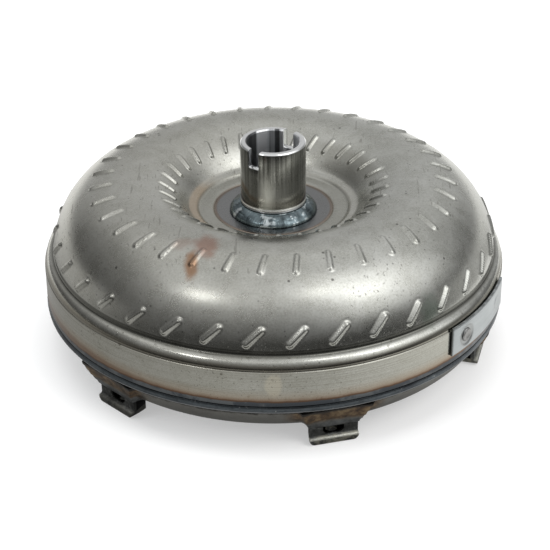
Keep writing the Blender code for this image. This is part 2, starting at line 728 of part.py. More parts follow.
def build_stator(stator, reaction):
    """Stator on its freewheel."""
    stator_wheel(stator)
    freewheel_outer_race(stator)
    freewheel_plate("freewheel_front_plate", FREEWHEEL_BOTTOM_Z - GAP - FREEWHEEL_PLATE_T, stator)
    freewheel_plate("freewheel_rear_plate", FREEWHEEL_TOP_Z + GAP, stator)
    freewheel_inner_race(reaction)
    for i in range(1, ROLLERS + 1):
        roller_spring(i, stator)
        roller(i, stator)


def build_bearings(housing, turbine, stator):
    thrust_bearing(("cover_bearing_race", housing), ("cover_needle_cage", housing),
                   ("turbine_front_race", turbine), bore_r=13.6, rim_r=23.6,
                   seat_z=COVER_FLOOR_Z, needles=10, lower_rim_r=24.0, lower_t=1.9)
    thrust_bearing(("turbine_rear_race", turbine), ("middle_needle_cage", turbine),
                   ("stator_front_race", stator), bore_r=24.2, rim_r=33.6,
                   seat_z=TURBINE_HUB_TOP_Z, needles=12)
    thrust_bearing(("stator_rear_race", stator), ("hub_needle_cage", housing),
                   ("hub_bearing_race", housing), bore_r=19.5, rim_r=29.2,
                   seat_z=FREEWHEEL_TOP_Z + GAP + FREEWHEEL_PLATE_T, needles=12)


def build():
    clear_scene()
    housing = empty("housing_frame")
    turbine = empty("turbine_axis", parent=housing)
    stator = empty("stator_axis", parent=housing)
    reaction = empty("reaction_axis", parent=stator)
    build_housing(housing)
    build_turbine(turbine)
    build_stator(stator, reaction)
    build_bearings(housing, turbine, stator)
    bpy.context.view_layer.update()


build()
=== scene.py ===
"""Looks of a torque converter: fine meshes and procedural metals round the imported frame.

The axis is Z, with the cover below and the impeller shell and its hub on top. The camera
looks from -Y. Azimuth runs from -Y towards +X, in degrees. Mesh helpers take millimetres
and scale them once by MM; shader coordinates are metres.
"""
import math

import bmesh
import bpy
import numpy as np
from mathutils import Matrix, Vector


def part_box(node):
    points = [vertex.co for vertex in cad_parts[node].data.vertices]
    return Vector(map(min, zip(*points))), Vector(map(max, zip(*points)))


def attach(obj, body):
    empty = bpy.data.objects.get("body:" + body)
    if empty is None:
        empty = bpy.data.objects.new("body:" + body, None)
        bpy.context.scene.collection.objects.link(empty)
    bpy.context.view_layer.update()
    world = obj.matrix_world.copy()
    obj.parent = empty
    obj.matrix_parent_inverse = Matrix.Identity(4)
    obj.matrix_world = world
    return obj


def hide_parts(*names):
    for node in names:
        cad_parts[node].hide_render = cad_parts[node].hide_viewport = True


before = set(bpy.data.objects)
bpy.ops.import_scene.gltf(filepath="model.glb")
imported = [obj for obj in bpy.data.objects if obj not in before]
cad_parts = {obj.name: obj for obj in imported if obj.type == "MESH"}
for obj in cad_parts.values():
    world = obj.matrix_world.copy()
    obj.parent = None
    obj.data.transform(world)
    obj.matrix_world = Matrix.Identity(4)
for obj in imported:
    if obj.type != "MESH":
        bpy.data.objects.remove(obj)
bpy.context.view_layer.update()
MM = 0.001
TAU = math.tau

# sizes read from the frame
SHELL_LO, SHELL_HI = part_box("impeller_shell")
SKIRT_R = SHELL_HI.x / MM
SKIRT_END = SHELL_LO.z / MM
HUB_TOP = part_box("impeller_hub")[1].z / MM
LUG_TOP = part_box("lug_bracket_1")[1].z / MM

HUB_R, HUB_BORE = 20.86, 16.5
# torus sections: centre radius, centre height, section radius
TORUS_R, TORUS_Z, TORUS_A = 93.5, 64.2, 48.5
TURBINE_Z, TURBINE_A = 62.2, 44.8
SHELL_T = 3.5
COVER_R = SKIRT_R - 3.8
LUG_COUNT, LUG_FIRST = 6, 15.0
LUG_PITCH = 360.0 / LUG_COUNT
# the two weld spots on the balance plate
SPOT_AZIMUTHS, SPOT_Z = (51.3, 68.3), 50.9


# ------------------------------------------------------------------ meshes
def smooth(obj, angle):
    obj.data.shade_smooth()
    obj.data.set_sharp_from_angle(angle=math.radians(angle))


def mesh_object(name, verts, faces, angle=32.0):
    mesh = bpy.data.meshes.new(name)
    mesh.from_pydata([tuple(v) for v in np.asarray(verts, float) * MM], [], faces)
    mesh.validate()
    bm = bmesh.new()
    bm.from_mesh(mesh)
    bmesh.ops.recalc_face_normals(bm, faces=bm.faces[:])
    if bm.calc_volume(signed=True) < 0:
        bmesh.ops.reverse_faces(bm, faces=bm.faces[:])
    bm.to_mesh(mesh)
    bm.free()
    obj = bpy.data.objects.new(name, mesh)
    smooth(obj, angle)
    bpy.context.scene.collection.objects.link(obj)
    return obj


def spaced(count):
    """Evenly spaced azimuths round the axis."""
    return np.arange(count) * 360.0 / count


def ring_points(radius, height, azimuth):
    """Points on rings: radius and height broadcast against azimuth."""
    turn = np.radians(azimuth)
    radius, height, turn = np.broadcast_arrays(radius, height, turn)
    return np.stack([radius * np.sin(turn), -radius * np.cos(turn), height], -1)


def rings_from(points, azimuths):
    return [ring_points(r, z, azimuths) for r, z in points]


def wrap_faces(few_start, many_start, few, many):
    """Faces between two closed rings, the second count a multiple of the first."""
    ratio = many // few
    faces = []
    for i in range(few):
        run = [many_start + (i * ratio + j) % many for j in range(ratio + 1)]
        faces.append([few_start + i, few_start + (i + 1) % few] + run[::-1])
    return faces


def rings_object(name, rings, angle=32.0, capped=False):
    """One body from rings; the last joins the first unless both ends are capped."""
    starts = [int(s) for s in np.cumsum([0] + [len(ring) for ring in rings])]
    faces = []
    last = len(rings) - 1
    for i in range(last if capped else last + 1):
        pair = sorted((i, (i + 1) % len(rings)), key=lambda k: len(rings[k]))
        if len(rings[i]) == len(rings[(i + 1) % len(rings)]):
            pair = [i, (i + 1) % len(rings)]
        few, many = pair
        faces += wrap_faces(starts[few], starts[many], len(rings[few]), len(rings[many]))
    if capped:
        faces.append(list(range(starts[1])))
        faces.append(list(range(starts[last], starts[last + 1])))
    return mesh_object(name, np.concatenate(rings), faces, angle)


def soften(profile, rad, steps):
    """Round every corner of a closed (r, z) profile, except on the axis."""
    points = [Vector(p) for p in profile]
    out = []
    for i, corner in enumerate(points):
        to_last = points[i - 1] - corner
        to_next = points[(i + 1) % len(points)] - corner
        if to_last.length < 1e-6 or to_next.length < 1e-6:
            continue
        trim = min(rad, 0.4 * to_last.length, 0.4 * to_next.length)
        if corner.x < 1e-6 or to_last.angle(to_next) > math.radians(172):
            out.append(corner)
            continue
        start = corner + to_last / to_last.length * trim
        end = corner + to_next / to_next.length * trim
        for k in range(steps + 1):
            t = k / steps
            out.append((1 - t) ** 2 * start + 2 * t * (1 - t) * corner + t * t * end)
    return [(p.x, p.y) for p in out]


def lathe(name, profile, seg=144, rad=0.3, steps=3):
    """Turned piece from a closed profile; one that meets the axis is capped."""
    if rad:
        profile = soften(profile, rad, steps)
    off_axis = [p for p in profile if p[0] >= 1e-6]
    return rings_object(name, rings_from(off_axis, spaced(seg)),
                        capped=len(off_axis) < len(profile))


def direction(azimuth):
    turn = math.radians(azimuth)
    return Vector((math.sin(turn), -math.cos(turn), 0.0))


def frame_at(azimuth, radius, height):
    """Matrix with local X tangential, Y outward, Z up, in metres."""
    outward = direction(azimuth)
    matrix = Matrix.Identity(4)
    matrix.col[0][:3] = direction(azimuth + 90.0)
    matrix.col[1][:3] = outward
    matrix.col[2][:3] = (0, 0, 1)
    matrix.col[3][:3] = (outward * radius + Vector((0, 0, height))) * MM
    return matrix


def extrude(name, first, second):
    """Prism between two matching outlines of 3D points."""
    n = len(first)
    faces = [[i, (i + 1) % n, n + (i + 1) % n, n + i] for i in range(n)]
    faces += [list(range(n))[::-1], list(range(n, 2 * n))]
    return mesh_object(name, first + second, faces)


def prism_up(name, outline, z0, z1):
    """Prism from an (x, y) outline between two heights."""
    return extrude(name, *([(x, y, z) for x, y in outline] for z in (z0, z1)))


def prism_out(name, outline, y0, y1):
    """Prism from an (x, z) outline between two distances along Y."""
    return extrude(name, *([(x, y, z) for x, z in outline] for y in (y0, y1)))


def apply_modifiers(obj):
    bpy.context.view_layer.update()
    graph = bpy.context.evaluated_depsgraph_get()
    mesh = bpy.data.meshes.new_from_object(obj.evaluated_get(graph))
    obj.modifiers.clear()
    old = obj.data
    obj.data = mesh
    bpy.data.meshes.remove(old)


def cut(obj, tool):
    mod = obj.modifiers.new("cut", "BOOLEAN")
    mod.solver = "EXACT"
    mod.operation = "DIFFERENCE"
    mod.object = tool
    apply_modifiers(obj)
    bpy.data.objects.remove(tool, do_unlink=True)


def bevel(obj, width, segments, angle=40.0):
    mod = obj.modifiers.new("bevel", "BEVEL")
    mod.width = width * MM
    mod.segments = segments
    mod.limit_method = "ANGLE"
    mod.angle_limit = math.radians(angle)
    mod.use_clamp_overlap = True
    apply_modifiers(obj)
    smooth(obj, 38)


def move(obj, matrix):
    obj.data.transform(matrix)
    obj.data.update()


def merge_close(obj, dist=0.004):
    bm = bmesh.new()
    bm.from_mesh(obj.data)
    bmesh.ops.remove_doubles(bm, verts=bm.verts[:], dist=dist * MM)
    bm.to_mesh(obj.data)
    bm.free()


def arc(centre_r, centre_z, rad, start, end, steps, squash=1.0):
    """Arc of (r, z) points between two angles; squash scales it along r."""
    turns = np.radians(np.linspace(start, end, steps + 1))
    return [(centre_r + rad * squash * math.cos(t), centre_z + rad * math.sin(t)) for t in turns]


def smooth_line(points, step):
    """Catmull-Rom through (r, z) points, resampled at about step mm."""
    p = [Vector(q) for q in points]
    p = [p[0] * 2 - p[1]] + p + [p[-1] * 2 - p[-2]]
    out = []
    for i in range(1, len(p) - 2):
        a, b, c, d = p[i - 1:i + 3]
        n = max(2, int((c - b).length / step))
        for k in range(n):
            t = k / n
            out.append(0.5 * ((2 * b) + (c - a) * t + (2 * a - 5 * b + 4 * c - d) * t * t
                              + (3 * b - a - 3 * c + d) * t ** 3))
    out.append(p[-2])
    return [(q.x, q.y) for q in out]


def smoothstep(x):
    x = np.clip(x, 0.0, 1.0)
    return x * x * (3 - 2 * x)


# ----------------------------------------------------------- shading tools
class Shading:
    """Builds a node tree; with a name it makes a metal, coloured coat by coat."""

    def __init__(self, name=None, tree=None, coords="Object"):
        if name:
            self.material = bpy.data.materials.new(name)
            self.material.use_nodes = True
            tree = self.material.node_tree
        self.tree = tree
        self.point = self.add("TexCoord").outputs[coords]
        self.x, self.y, self.z = self.add("SeparateXYZ", {0: self.point}).outputs
        self.radius = self.math("SQRT", self.plus(self.times(self.x, self.x),
                                                  self.times(self.y, self.y)))

    def add(self, kind, inputs=None, **settings):
        """New node; inputs maps socket names or indices to values or other sockets."""
        node = self.tree.nodes.new("ShaderNode" + kind)
        for key, value in settings.items():
            setattr(node, key, value)
        for key, value in (inputs or {}).items():
            self.put(value, node.inputs[key])
        return node

    def put(self, value, socket):
        if isinstance(value, (int, float)):
            socket.default_value = value
        elif isinstance(value, tuple):
            is_colour = len(value) == 3 and len(socket.default_value) == 4
            socket.default_value = (*value, 1.0) if is_colour else value
        else:
            self.tree.links.new(value, socket)

    def math(self, operation, a, b=0.0, c=0.0):
        return self.add("Math", {0: a, 1: b, 2: c}, operation=operation).outputs[0]

    def plus(self, a, b):
        return self.math("ADD", a, b)

    def minus(self, a, b):
        return self.math("SUBTRACT", a, b)

    def times(self, a, b):
        return self.math("MULTIPLY", a, b)

    def larger(self, a, b):
        return self.math("MAXIMUM", a, b)

    def blend(self, first, second):
        """Sum of two (value, weight) pairs."""
        return self.plus(self.times(*first), self.times(*second))

    def vector(self, x, y, z):
        return self.add("CombineXYZ", {0: x, 1: y, 2: z}).outputs[0]

    def azimuth(self):
        return self.math("ARCTAN2", self.x, self.times(self.y, -1.0))

    def noise(self, scale, detail=3.0, rough=0.55, distort=0.0, at=None):
        return self.add("TexNoise", {
            "Vector": at or self.point, "Scale": scale, "Detail": detail,
            "Roughness": rough, "Distortion": distort}).outputs["Fac"]

    def ring_noise(self, around, height, outward=0, detail=3.0, rough=0.55):
        """Noise seamless round the axis, with a frequency for each direction."""
        unit_x = self.math("DIVIDE", self.x, self.larger(self.radius, 1e-5))
        unit_y = self.math("DIVIDE", self.y, self.larger(self.radius, 1e-5))
        level = self.blend((self.z, height), (self.radius, outward))
        at = self.vector(self.times(unit_x, around), self.times(unit_y, around), level)
        return self.noise(1.0, detail, rough, at=at)

    def step(self, value, span, out=(0.0, 1.0)):
        """Smooth change from out[0] to out[1] as the value crosses the span."""
        return self.add("MapRange", {
            "Value": value, "From Min": span[0], "From Max": span[1],
            "To Min": out[0], "To Max": out[1]}, interpolation_type="SMOOTHSTEP").outputs["Result"]

    def fade(self, value, span):
        return self.step(value, span, out=(1.0, 0.0))

    def band(self, value, span, soft):
        """1 within the span, 0 outside, with edges softened by soft either way."""
        start, end = span
        return self.times(self.step(value, (start - soft, start + soft)),
                          self.fade(value, (end - soft, end + soft)))

    def mix(self, factor, a, b):
        return self.add("Mix", {"Factor": factor, 6: a, 7: b}, data_type="RGBA").outputs[2]

    def mix_values(self, factor, a, b):
        return self.add("Mix", {"Factor": factor, 2: a, 3: b}, data_type="FLOAT").outputs[0]

    def mix_shaders(self, factor, a, b):
        return self.add("MixShader", {0: factor, 1: a, 2: b}).outputs[0]

    def ramp(self, factor, stops):
        """Colour ramp; stops maps positions to colours."""
        node = self.add("ValToRGB", {0: factor})
        elements = node.color_ramp.elements
        first, *middle, last = stops.items()
        for element, (position, colour) in zip(elements, (first, last)):
            element.position = position
            element.color = (*colour, 1)
        for position, colour in middle:
            elements.new(position).color = (*colour, 1)
        return node.outputs[0]

    def coat(self, mask, colour, amount=None):
        """Lay a colour over the present one where the mask is 1."""
        if amount is not None:
            mask = self.times(mask, amount)
        self.colour = self.mix(mask, self.colour, colour)

    def ragged(self, value, scale, amount, detail=3):
        """The value shifted either way by noise."""
        return self.plus(value, self.times(self.minus(self.noise(scale, detail), 0.5), amount))

    def blob(self, centre, radii, edge, wave=0.0):
        """Soft ellipsoidal patch round a point in mm: 1 inside, 0 outside."""
        squares = []
        for axis, middle, rad in zip((self.x, self.y, self.z), centre, radii):
            part = self.math("DIVIDE", self.minus(axis, middle * MM), rad * MM)
            squares.append(self.times(part, part))
        distance = self.math("SQRT", self.plus(self.plus(*squares[:2]), squares[2]))
        if wave:
            distance = self.ragged(distance, scale=130, amount=wave)
        return self.fade(distance, (1.0 - edge, 1.0 + edge))

    def specks(self, scale, size, patch_scale, patches):
        """Round specks, kept only where a coarse noise passes the patches span."""
        cell = self.add("TexVoronoi", {"Vector": self.point, "Scale": scale})
        return self.times(self.fade(cell.outputs["Distance"], size),
                          self.step(self.noise(patch_scale, detail=2), patches))

    def scratches(self, across, along, seed, keep=0.5):
        """Short thin strokes: noise stretched along one direction, kept only in places."""
        turned = self.add("Mapping", {
            "Vector": self.point,
            "Location": (seed * 1.7, seed * 0.9, seed * 2.3),
            "Rotation": (seed * 0.7, seed * 1.1, seed * 2.4),
            "Scale": (across, along, across)}).outputs[0]
        # a slow bend keeps the strokes from running dead straight
        bend = self.noise(scale=14, detail=1)
        shift = self.vector(self.times(bend, across * 0.010), 0.0,
                            self.times(bend, across * 0.006))
        bent = self.add("VectorMath", {0: turned, 1: shift}, operation="ADD").outputs[0]
        line = self.step(self.noise(1.0, detail=1, rough=0.4, at=bent), span=(0.685, 0.72))
        place_noise = self.noise(0.035, detail=2, at=turned)
        return self.times(line, self.step(place_noise, span=(1.0 - keep, 1.0 - keep + 0.08)))

    def finish(self, rough, bump, strength, distance, aniso=0.0):
        inputs = self.tree.nodes["Principled BSDF"].inputs
        self.put(self.colour, inputs["Base Color"])
        self.put(rough, inputs["Roughness"])
        self.put(1.0, inputs["Metallic"])
        relief = self.add("Bump", {"Strength": strength, "Distance": distance, "Height": bump})
        self.put(relief.outputs[0], inputs["Normal"])
        if aniso:
            self.put(aniso, inputs["Anisotropic"])
            tangent = self.add("Tangent", direction_type="RADIAL", axis="Z")
            self.put(tangent.outputs[0], inputs["Tangent"])
        return self.material


# --------------------------------------------------------------- materials
def shell_centre(mat):
    """Rings of colour in the sunk centre of the shell, round the hub."""
    top = mat.step(mat.z, span=(0.084, 0.086))
    # painted shade: the right-back wall of the well is darkened with a brownish grey
    well_painted_shade = mat.times(mat.band(mat.radius, span=(0.0545, 0.0700), soft=0.0030),
                      mat.times(mat.step(mat.x, span=(0.012, 0.040)),
                                mat.step(mat.y, span=(0.0, 0.030))))
    mat.coat(well_painted_shade, (0.20, 0.19, 0.15), amount=0.38)
    dull = mat.times(mat.band(mat.radius, span=(0.0380, 0.0500), soft=0.0006), top)
    mat.coat(dull, (0.27, 0.265, 0.225), amount=0.42)
    wavy = mat.plus(mat.radius, mat.times(mat.noise(scale=90), 0.003))
    blue = mat.times(mat.band(wavy, span=(0.020, 0.0392), soft=0.0009), top)
    mat.coat(blue, (0.165, 0.168, 0.180), amount=0.80)
    rim = mat.times(mat.band(mat.radius, span=(0.0365, 0.0388), soft=0.0007), top)
    mat.coat(rim, (0.20, 0.13, 0.085), amount=0.6)
    tan_ring = mat.times(
        mat.times(mat.band(mat.radius, span=(0.0485, 0.0545), soft=0.0012), top),
        mat.times(mat.step(mat.x, span=(-0.046, -0.030), out=(1.0, 0.10)),
                  mat.step(mat.y, span=(0.018, 0.034), out=(1.0, 0.2))))
    mat.coat(tan_ring, (0.44, 0.30, 0.17), amount=0.50)


def shell_skirt(mat, mid):
    """Skirt colours: a pale mark, painted shade, oxide, turning lines and weld heat; returns the
    lines.
    """
    low = mat.ragged(mat.z, scale=120, amount=0.0016)
    skirt = mat.step(mat.radius, span=(0.146, 0.1472))
    dab = mat.blob((-0.6, -148.4, 50.4), radii=(5.2, 7.0, 7.6), edge=0.24, wave=0.70)
    mat.coat(dab, (0.70, 0.66, 0.55), amount=0.75)
    mat.coat(skirt, (0.40, 0.385, 0.300), amount=0.22)
    # painted shade in the fillet crease above the skirt; brown oxide in the step under it
    fillet = mat.times(mat.band(mat.z, span=(0.0660, 0.0700), soft=0.0005),
                       mat.step(mat.radius, span=(0.1408, 0.1416)))
    mat.coat(fillet, (0.10, 0.10, 0.085), amount=0.80)
    groove = mat.times(mat.band(mat.z, span=(0.0590, 0.0628), soft=0.0012), skirt)
    mat.coat(groove, (0.17, 0.145, 0.105), amount=0.60)

    def strip():
        """The machined strip below the step."""
        return mat.times(skirt, mat.fade(mat.z, span=(0.0586, 0.0589)))

    turned = mat.times(mat.ring_noise(around=1.2, height=1900, detail=2, rough=0.6), strip())
    lines = mat.step(turned, span=(0.52, 0.62), out=(0.0, 0.30))
    mat.coat(mat.times(lines, strip()), (0.22, 0.20, 0.15))
    # painted shade: the skirt is darkened to an olive grey towards +X
    right = mat.step(mat.x, span=(0.030, 0.090), out=(0.0, 0.45))
    mat.coat(mat.times(skirt, right), (0.34, 0.335, 0.29))
    # weld heat at the lower edge, brown to blue downwards and higher towards -X
    warm = mat.plus(low, mat.step(mat.x, span=(-0.140, -0.050), out=(-0.0030, 0.0)))
    edge = mat.mix(mat.step(mid, span=(0.45, 0.60)), (0.085, 0.098, 0.112), (0.165, 0.180, 0.190))
    # height used, span it fades over, amount at the bottom, colour
    for height, span, amount, colour in (
            (warm, (0.0392, 0.0480), 0.55, (0.36, 0.26, 0.17)),
            (warm, (0.0390, 0.0422), 0.70, (0.22, 0.135, 0.088)),
            (low, (0.0388, 0.0402), 0.92, (0.125, 0.070, 0.042)),
            (low, (0.0380, 0.0390), 0.96, edge)):
        mat.coat(mat.times(mat.step(height, span, out=(amount, 0.0)), skirt), colour)
    return turned


def shell_steel():
    """Drawn steel: warm grey, mottled, scuffed, with heat tint by the welds."""
    mat = Shading("drawn_steel_shell")
    big = mat.noise(scale=11, detail=3, rough=0.6)
    mid = mat.noise(scale=70, detail=4, rough=0.65, distort=0.4)
    fine = mat.noise(scale=850, detail=3, rough=0.7)
    mat.colour = mat.ramp(mat.blend((big, 0.45), (mid, 0.55)), {
        0.33: (0.420, 0.424, 0.388), 0.50: (0.530, 0.536, 0.500), 0.67: (0.630, 0.638, 0.606)})
    mat.coat(mat.step(fine, span=(0.50, 0.64), out=(0.0, 0.28)), (0.27, 0.268, 0.235))
    mat.coat(mat.step(fine, span=(0.47, 0.36), out=(0.0, 0.20)), (0.80, 0.805, 0.78))
    # warmer and a little darker towards -X: a brownish tint, with painted shade on that side
    mat.coat(mat.step(mat.x, span=(-0.15, 0.15), out=(0.30, 0.0)), (0.42, 0.395, 0.335))
    pits = mat.specks(scale=95, size=(0.05, 0.11), patch_scale=30, patches=(0.50, 0.60))
    small_pits = mat.specks(scale=190, size=(0.07, 0.14), patch_scale=21, patches=(0.46, 0.54))
    mat.coat(pits, (0.07, 0.065, 0.06), amount=0.75)
    mat.coat(small_pits, (0.10, 0.095, 0.09), amount=0.55)
    # handling scratches, and circular scuffs round the crest
    strokes = mat.larger(mat.scratches(across=620, along=46, keep=0.52, seed=1),
                         mat.scratches(across=760, along=60, seed=5))
    scuff = mat.ring_noise(around=2.2, height=30, outward=950, detail=2, rough=0.6)
    crest = mat.band(mat.radius, span=(0.108, 0.121), soft=0.004)
    scuff = mat.times(mat.times(mat.step(scuff, span=(0.60, 0.68)), crest),
                      mat.step(mat.z, span=(0.10, 0.104)))
    marks = mat.larger(strokes, mat.times(scuff, 0.3))
    mat.coat(marks, (0.20, 0.19, 0.17), amount=0.42)
    shell_centre(mat)
    # three brown stains and a green patch: centre and radii in mm, colour, amount
    for centre, radii, colour, amount in (
            ((-39.3, -91.5, 112.2), (6.5, 10.5, 8.0), (0.37, 0.235, 0.185), 0.82),
            ((-48.0, -105.5, 107.2), (4.0, 9.0, 8.0), (0.33, 0.190, 0.110), 0.88),
            ((-53.5, -88.0, 112.0), (7.0, 5.0, 8.0), (0.40, 0.290, 0.240), 0.45),
            ((92.8, -106.2, 75.1), (6.5, 6.5, 8.5), (0.19, 0.28, 0.21), 0.50)):
        mat.coat(mat.blob(centre, radii, edge=0.55, wave=1.3), colour, amount)
    turned = shell_skirt(mat, mid)
    rough = mat.plus(mat.step(mat.radius, span=(0.1405, 0.1425), out=(0.20, 0.10)),
                     mat.times(mid, 0.16))
    rough = mat.plus(rough, mat.times(marks, 0.12))
    height = mat.minus(mat.blend((fine, 0.5), (mid, 0.8)), mat.times(mat.plus(marks, pits), 0.6))
    height = mat.plus(height, mat.times(turned, 0.8))
    return mat.finish(rough, height, strength=0.30, distance=0.00012)


def turned_steel(name, light=(0.66, 0.65, 0.62), dark=(0.40, 0.39, 0.37), rough=0.2, lines=1500.0):
    """Lathe-turned steel with fine rings; dark and light are the ends of its ramp."""
    mat = Shading(name)
    rings = mat.ring_noise(around=0.6, height=lines, outward=lines, detail=3, rough=0.65)
    grain = mat.noise(scale=700, detail=2, rough=0.6)
    mat.colour = mat.ramp(mat.blend((rings, 0.6), (grain, 0.4)), {0.32: dark, 0.62: light})
    strokes = mat.scratches(across=1500, along=110, seed=3)
    mat.coat(strokes, (0.25, 0.24, 0.23), amount=0.35)
    return mat.finish(mat.plus(rough, mat.times(grain, 0.12)),
                      mat.plus(rings, mat.times(strokes, -0.6)),
                      strength=0.12, distance=0.00008, aniso=0.5)


def hub_steel():
    """Ground pump hub: bright, with painted lengthwise reflections, painted shade on its flanks, a
    painted highlight column, painted reflections in the bore and a heat-tinted foot.
    """
    mat = Shading("ground_hub_steel")
    rings = mat.ring_noise(around=0.5, height=2600, outward=500, detail=3, rough=0.65)
    run = mat.ring_noise(around=16, height=6, detail=3, rough=0.75)
    grain = mat.noise(scale=900, detail=2, rough=0.6)
    # painted lengthwise reflection streaks, weaker towards the foot
    contrast = mat.step(mat.z, span=(0.104, 0.124), out=(0.35, 1.0))
    soft = mat.minus(0.5, mat.times(mat.minus(0.5, run), contrast))
    mat.colour = mat.ramp(mat.blend((rings, 0.12), (soft, 0.88)), {
        0.38: (0.13, 0.13, 0.12), 0.50: (0.33, 0.33, 0.31), 0.62: (0.56, 0.56, 0.54)})
    # painted shade over the whole hub, and more on the flanks either side of a painted highlight
    # column that faces -Y
    angle = mat.azimuth()
    flank = mat.plus(mat.step(angle, span=(-0.55, -0.25), out=(0.60, 0.0)),
                     mat.step(angle, span=(0.05, 0.75), out=(0.0, 0.62)))
    flank = mat.times(flank, mat.step(mat.math("ABSOLUTE", angle), span=(1.6, 2.4), out=(1.0, 0.2)))
    painted_shade_colour = (0.060, 0.060, 0.052)
    mat.coat(0.22, painted_shade_colour)
    mat.coat(flank, painted_shade_colour)
    # painted highlight: a pale column down the side that faces -Y
    column = mat.times(mat.band(angle, span=(-0.32, -0.06), soft=0.22),
                       mat.step(mat.z, span=(0.128, 0.108)))
    mat.coat(column, (0.94, 0.94, 0.88), amount=0.92)
    # bright bore, top face and foot
    bright = mat.larger(mat.fade(mat.radius, span=(0.0200, 0.0206)),
                        mat.step(mat.z, span=(0.1355, 0.1362)))
    foot = mat.times(mat.step(mat.z, span=(0.0986, 0.0980)),
                     mat.step(mat.radius, span=(0.0202, 0.0206)))
    mat.coat(mat.larger(bright, foot), (0.85, 0.86, 0.86))
    # the bore: painted reflections, pale panes with two bands of painted shade
    bore = mat.fade(mat.radius, span=(0.0172, 0.0180))
    painted_reflection_panes = mat.ring_noise(around=2.6, height=3, detail=2, rough=0.5)
    mat.coat(bore, mat.ramp(painted_reflection_panes, {
        0.38: (0.40, 0.41, 0.42), 0.48: (0.80, 0.82, 0.84), 0.56: (0.97, 0.98, 0.99)}))
    inside = mat.larger(mat.fade(mat.x, span=(-0.0112, -0.0102)),
                        mat.band(mat.x, span=(0.0010, 0.0042), soft=0.0006))
    mat.coat(mat.times(inside, bore), (0.035, 0.036, 0.038), amount=0.88)
    heat = mat.band(mat.z, span=(0.0990, 0.1030), soft=0.0020)
    mat.coat(heat, (0.30, 0.25, 0.19), amount=0.12)
    mat.coat(mat.scratches(across=1800, along=120, seed=9), (0.22, 0.21, 0.20), amount=0.3)
    rough = mat.plus(mat.mix_values(bore, 0.06, 0.42), mat.times(grain, 0.10))
    return mat.finish(rough, mat.plus(rings, mat.times(run, 0.8)), strength=0.10,
                      distance=0.00006)


def weld_metal(name, base, tint, rough, lip=False):
    """Weld metal: oxide colours and spatter, with a painted highlight along the lower lip or with
    painted glints.
    """
    mat = Shading(name)
    patches = mat.ring_noise(around=7, height=260, outward=260, detail=4, rough=0.6)
    grain = mat.noise(scale=420, detail=4, rough=0.7)
    lines = mat.ring_noise(around=1.6, height=1500, outward=1500, detail=3, rough=0.6)
    pale = tuple(1.45 * c + 0.01 for c in tint)
    mat.colour = mat.ramp(patches, {0.28: base, 0.50: tint, 0.72: pale})
    mat.coat(mat.step(grain, span=(0.45, 0.8), out=(0.0, 0.55)), tuple(0.5 * c for c in base))
    mat.coat(mat.step(lines, span=(0.56, 0.72), out=(0.0, 0.35)), (0.25, 0.26, 0.27))
    spatter = mat.specks(scale=420, size=(0.12, 0.22), patch_scale=160, patches=(0.55, 0.62))
    mat.coat(spatter, (0.50, 0.50, 0.50), amount=0.7)
    if lip:
        # painted highlight: a pale band along the lower lip
        edge = mat.plus(mat.z, mat.times(mat.ring_noise(around=9, height=0), 0.0008))
        mat.coat(mat.step(edge, span=(0.0313, 0.0325), out=(0.9, 0.0)), (0.52, 0.54, 0.56))
    else:
        # painted glints: pale patches of colour on the bead
        painted_glint = mat.ring_noise(around=2.6, height=620, outward=620, detail=3, rough=0.6)
        mat.coat(mat.step(painted_glint, span=(0.56, 0.64)), (0.74, 0.80, 0.82), amount=0.70)
    height = mat.plus(mat.times(lines, 0.7), mat.plus(grain, mat.times(spatter, 0.6)))
    return mat.finish(mat.plus(rough, mat.times(grain, 0.18)), height, strength=0.35,
                      distance=0.00015)


def cover_steel():
    """Cover: drawn steel, darkened near the weld, brown heat tint on the bosses."""
    mat = Shading("drawn_steel_cover")
    big = mat.noise(scale=14, detail=3, rough=0.6)
    mid = mat.noise(scale=90, detail=4, rough=0.65)
    fine = mat.noise(scale=900, detail=3, rough=0.7)
    mat.colour = mat.ramp(mat.blend((big, 0.5), (mid, 0.5)), {
        0.32: (0.22, 0.216, 0.200), 0.68: (0.37, 0.366, 0.345)})
    mat.coat(mat.step(fine, span=(0.4, 0.8), out=(0.0, 0.3)), (0.06, 0.058, 0.055))
    # a wave with one crest at each lug marks the bosses
    turn = mat.minus(mat.azimuth(), math.radians(LUG_FIRST))
    wave = mat.math("COSINE", mat.times(turn, LUG_COUNT))
    boss = mat.times(mat.step(wave, span=(0.10, 0.62)), mat.step(mat.radius, span=(0.128, 0.134)))
    edge = mat.ragged(mat.z, scale=150, amount=0.004)
    patch = mat.noise(scale=170, detail=4, rough=0.65)
    brown = mat.times(boss, mat.band(edge, span=(0.0178, 0.0280), soft=0.0020))
    mat.coat(brown, mat.ramp(patch, {
        0.36: (0.070, 0.046, 0.030), 0.50: (0.185, 0.118, 0.066), 0.64: (0.36, 0.260, 0.150),
    }), amount=0.92)
    blue = mat.times(boss, mat.step(edge, span=(0.0150, 0.0185), out=(0.8, 0.0)))
    mat.coat(blue, mat.ramp(patch, {0.37: (0.085, 0.090, 0.097), 0.63: (0.24, 0.255, 0.265)}))
    mat.coat(mat.step(edge, span=(0.0256, 0.0280)), (0.030, 0.027, 0.025), amount=0.88)
    strokes = mat.scratches(across=800, along=60, seed=4)
    mat.coat(strokes, (0.30, 0.29, 0.27), amount=0.4)
    height = mat.plus(mat.times(fine, 0.6), mat.minus(mid, mat.times(strokes, 0.5)))
    return mat.finish(mat.plus(0.32, mat.times(mid, 0.2)), height, strength=0.35,
                      distance=0.00015)


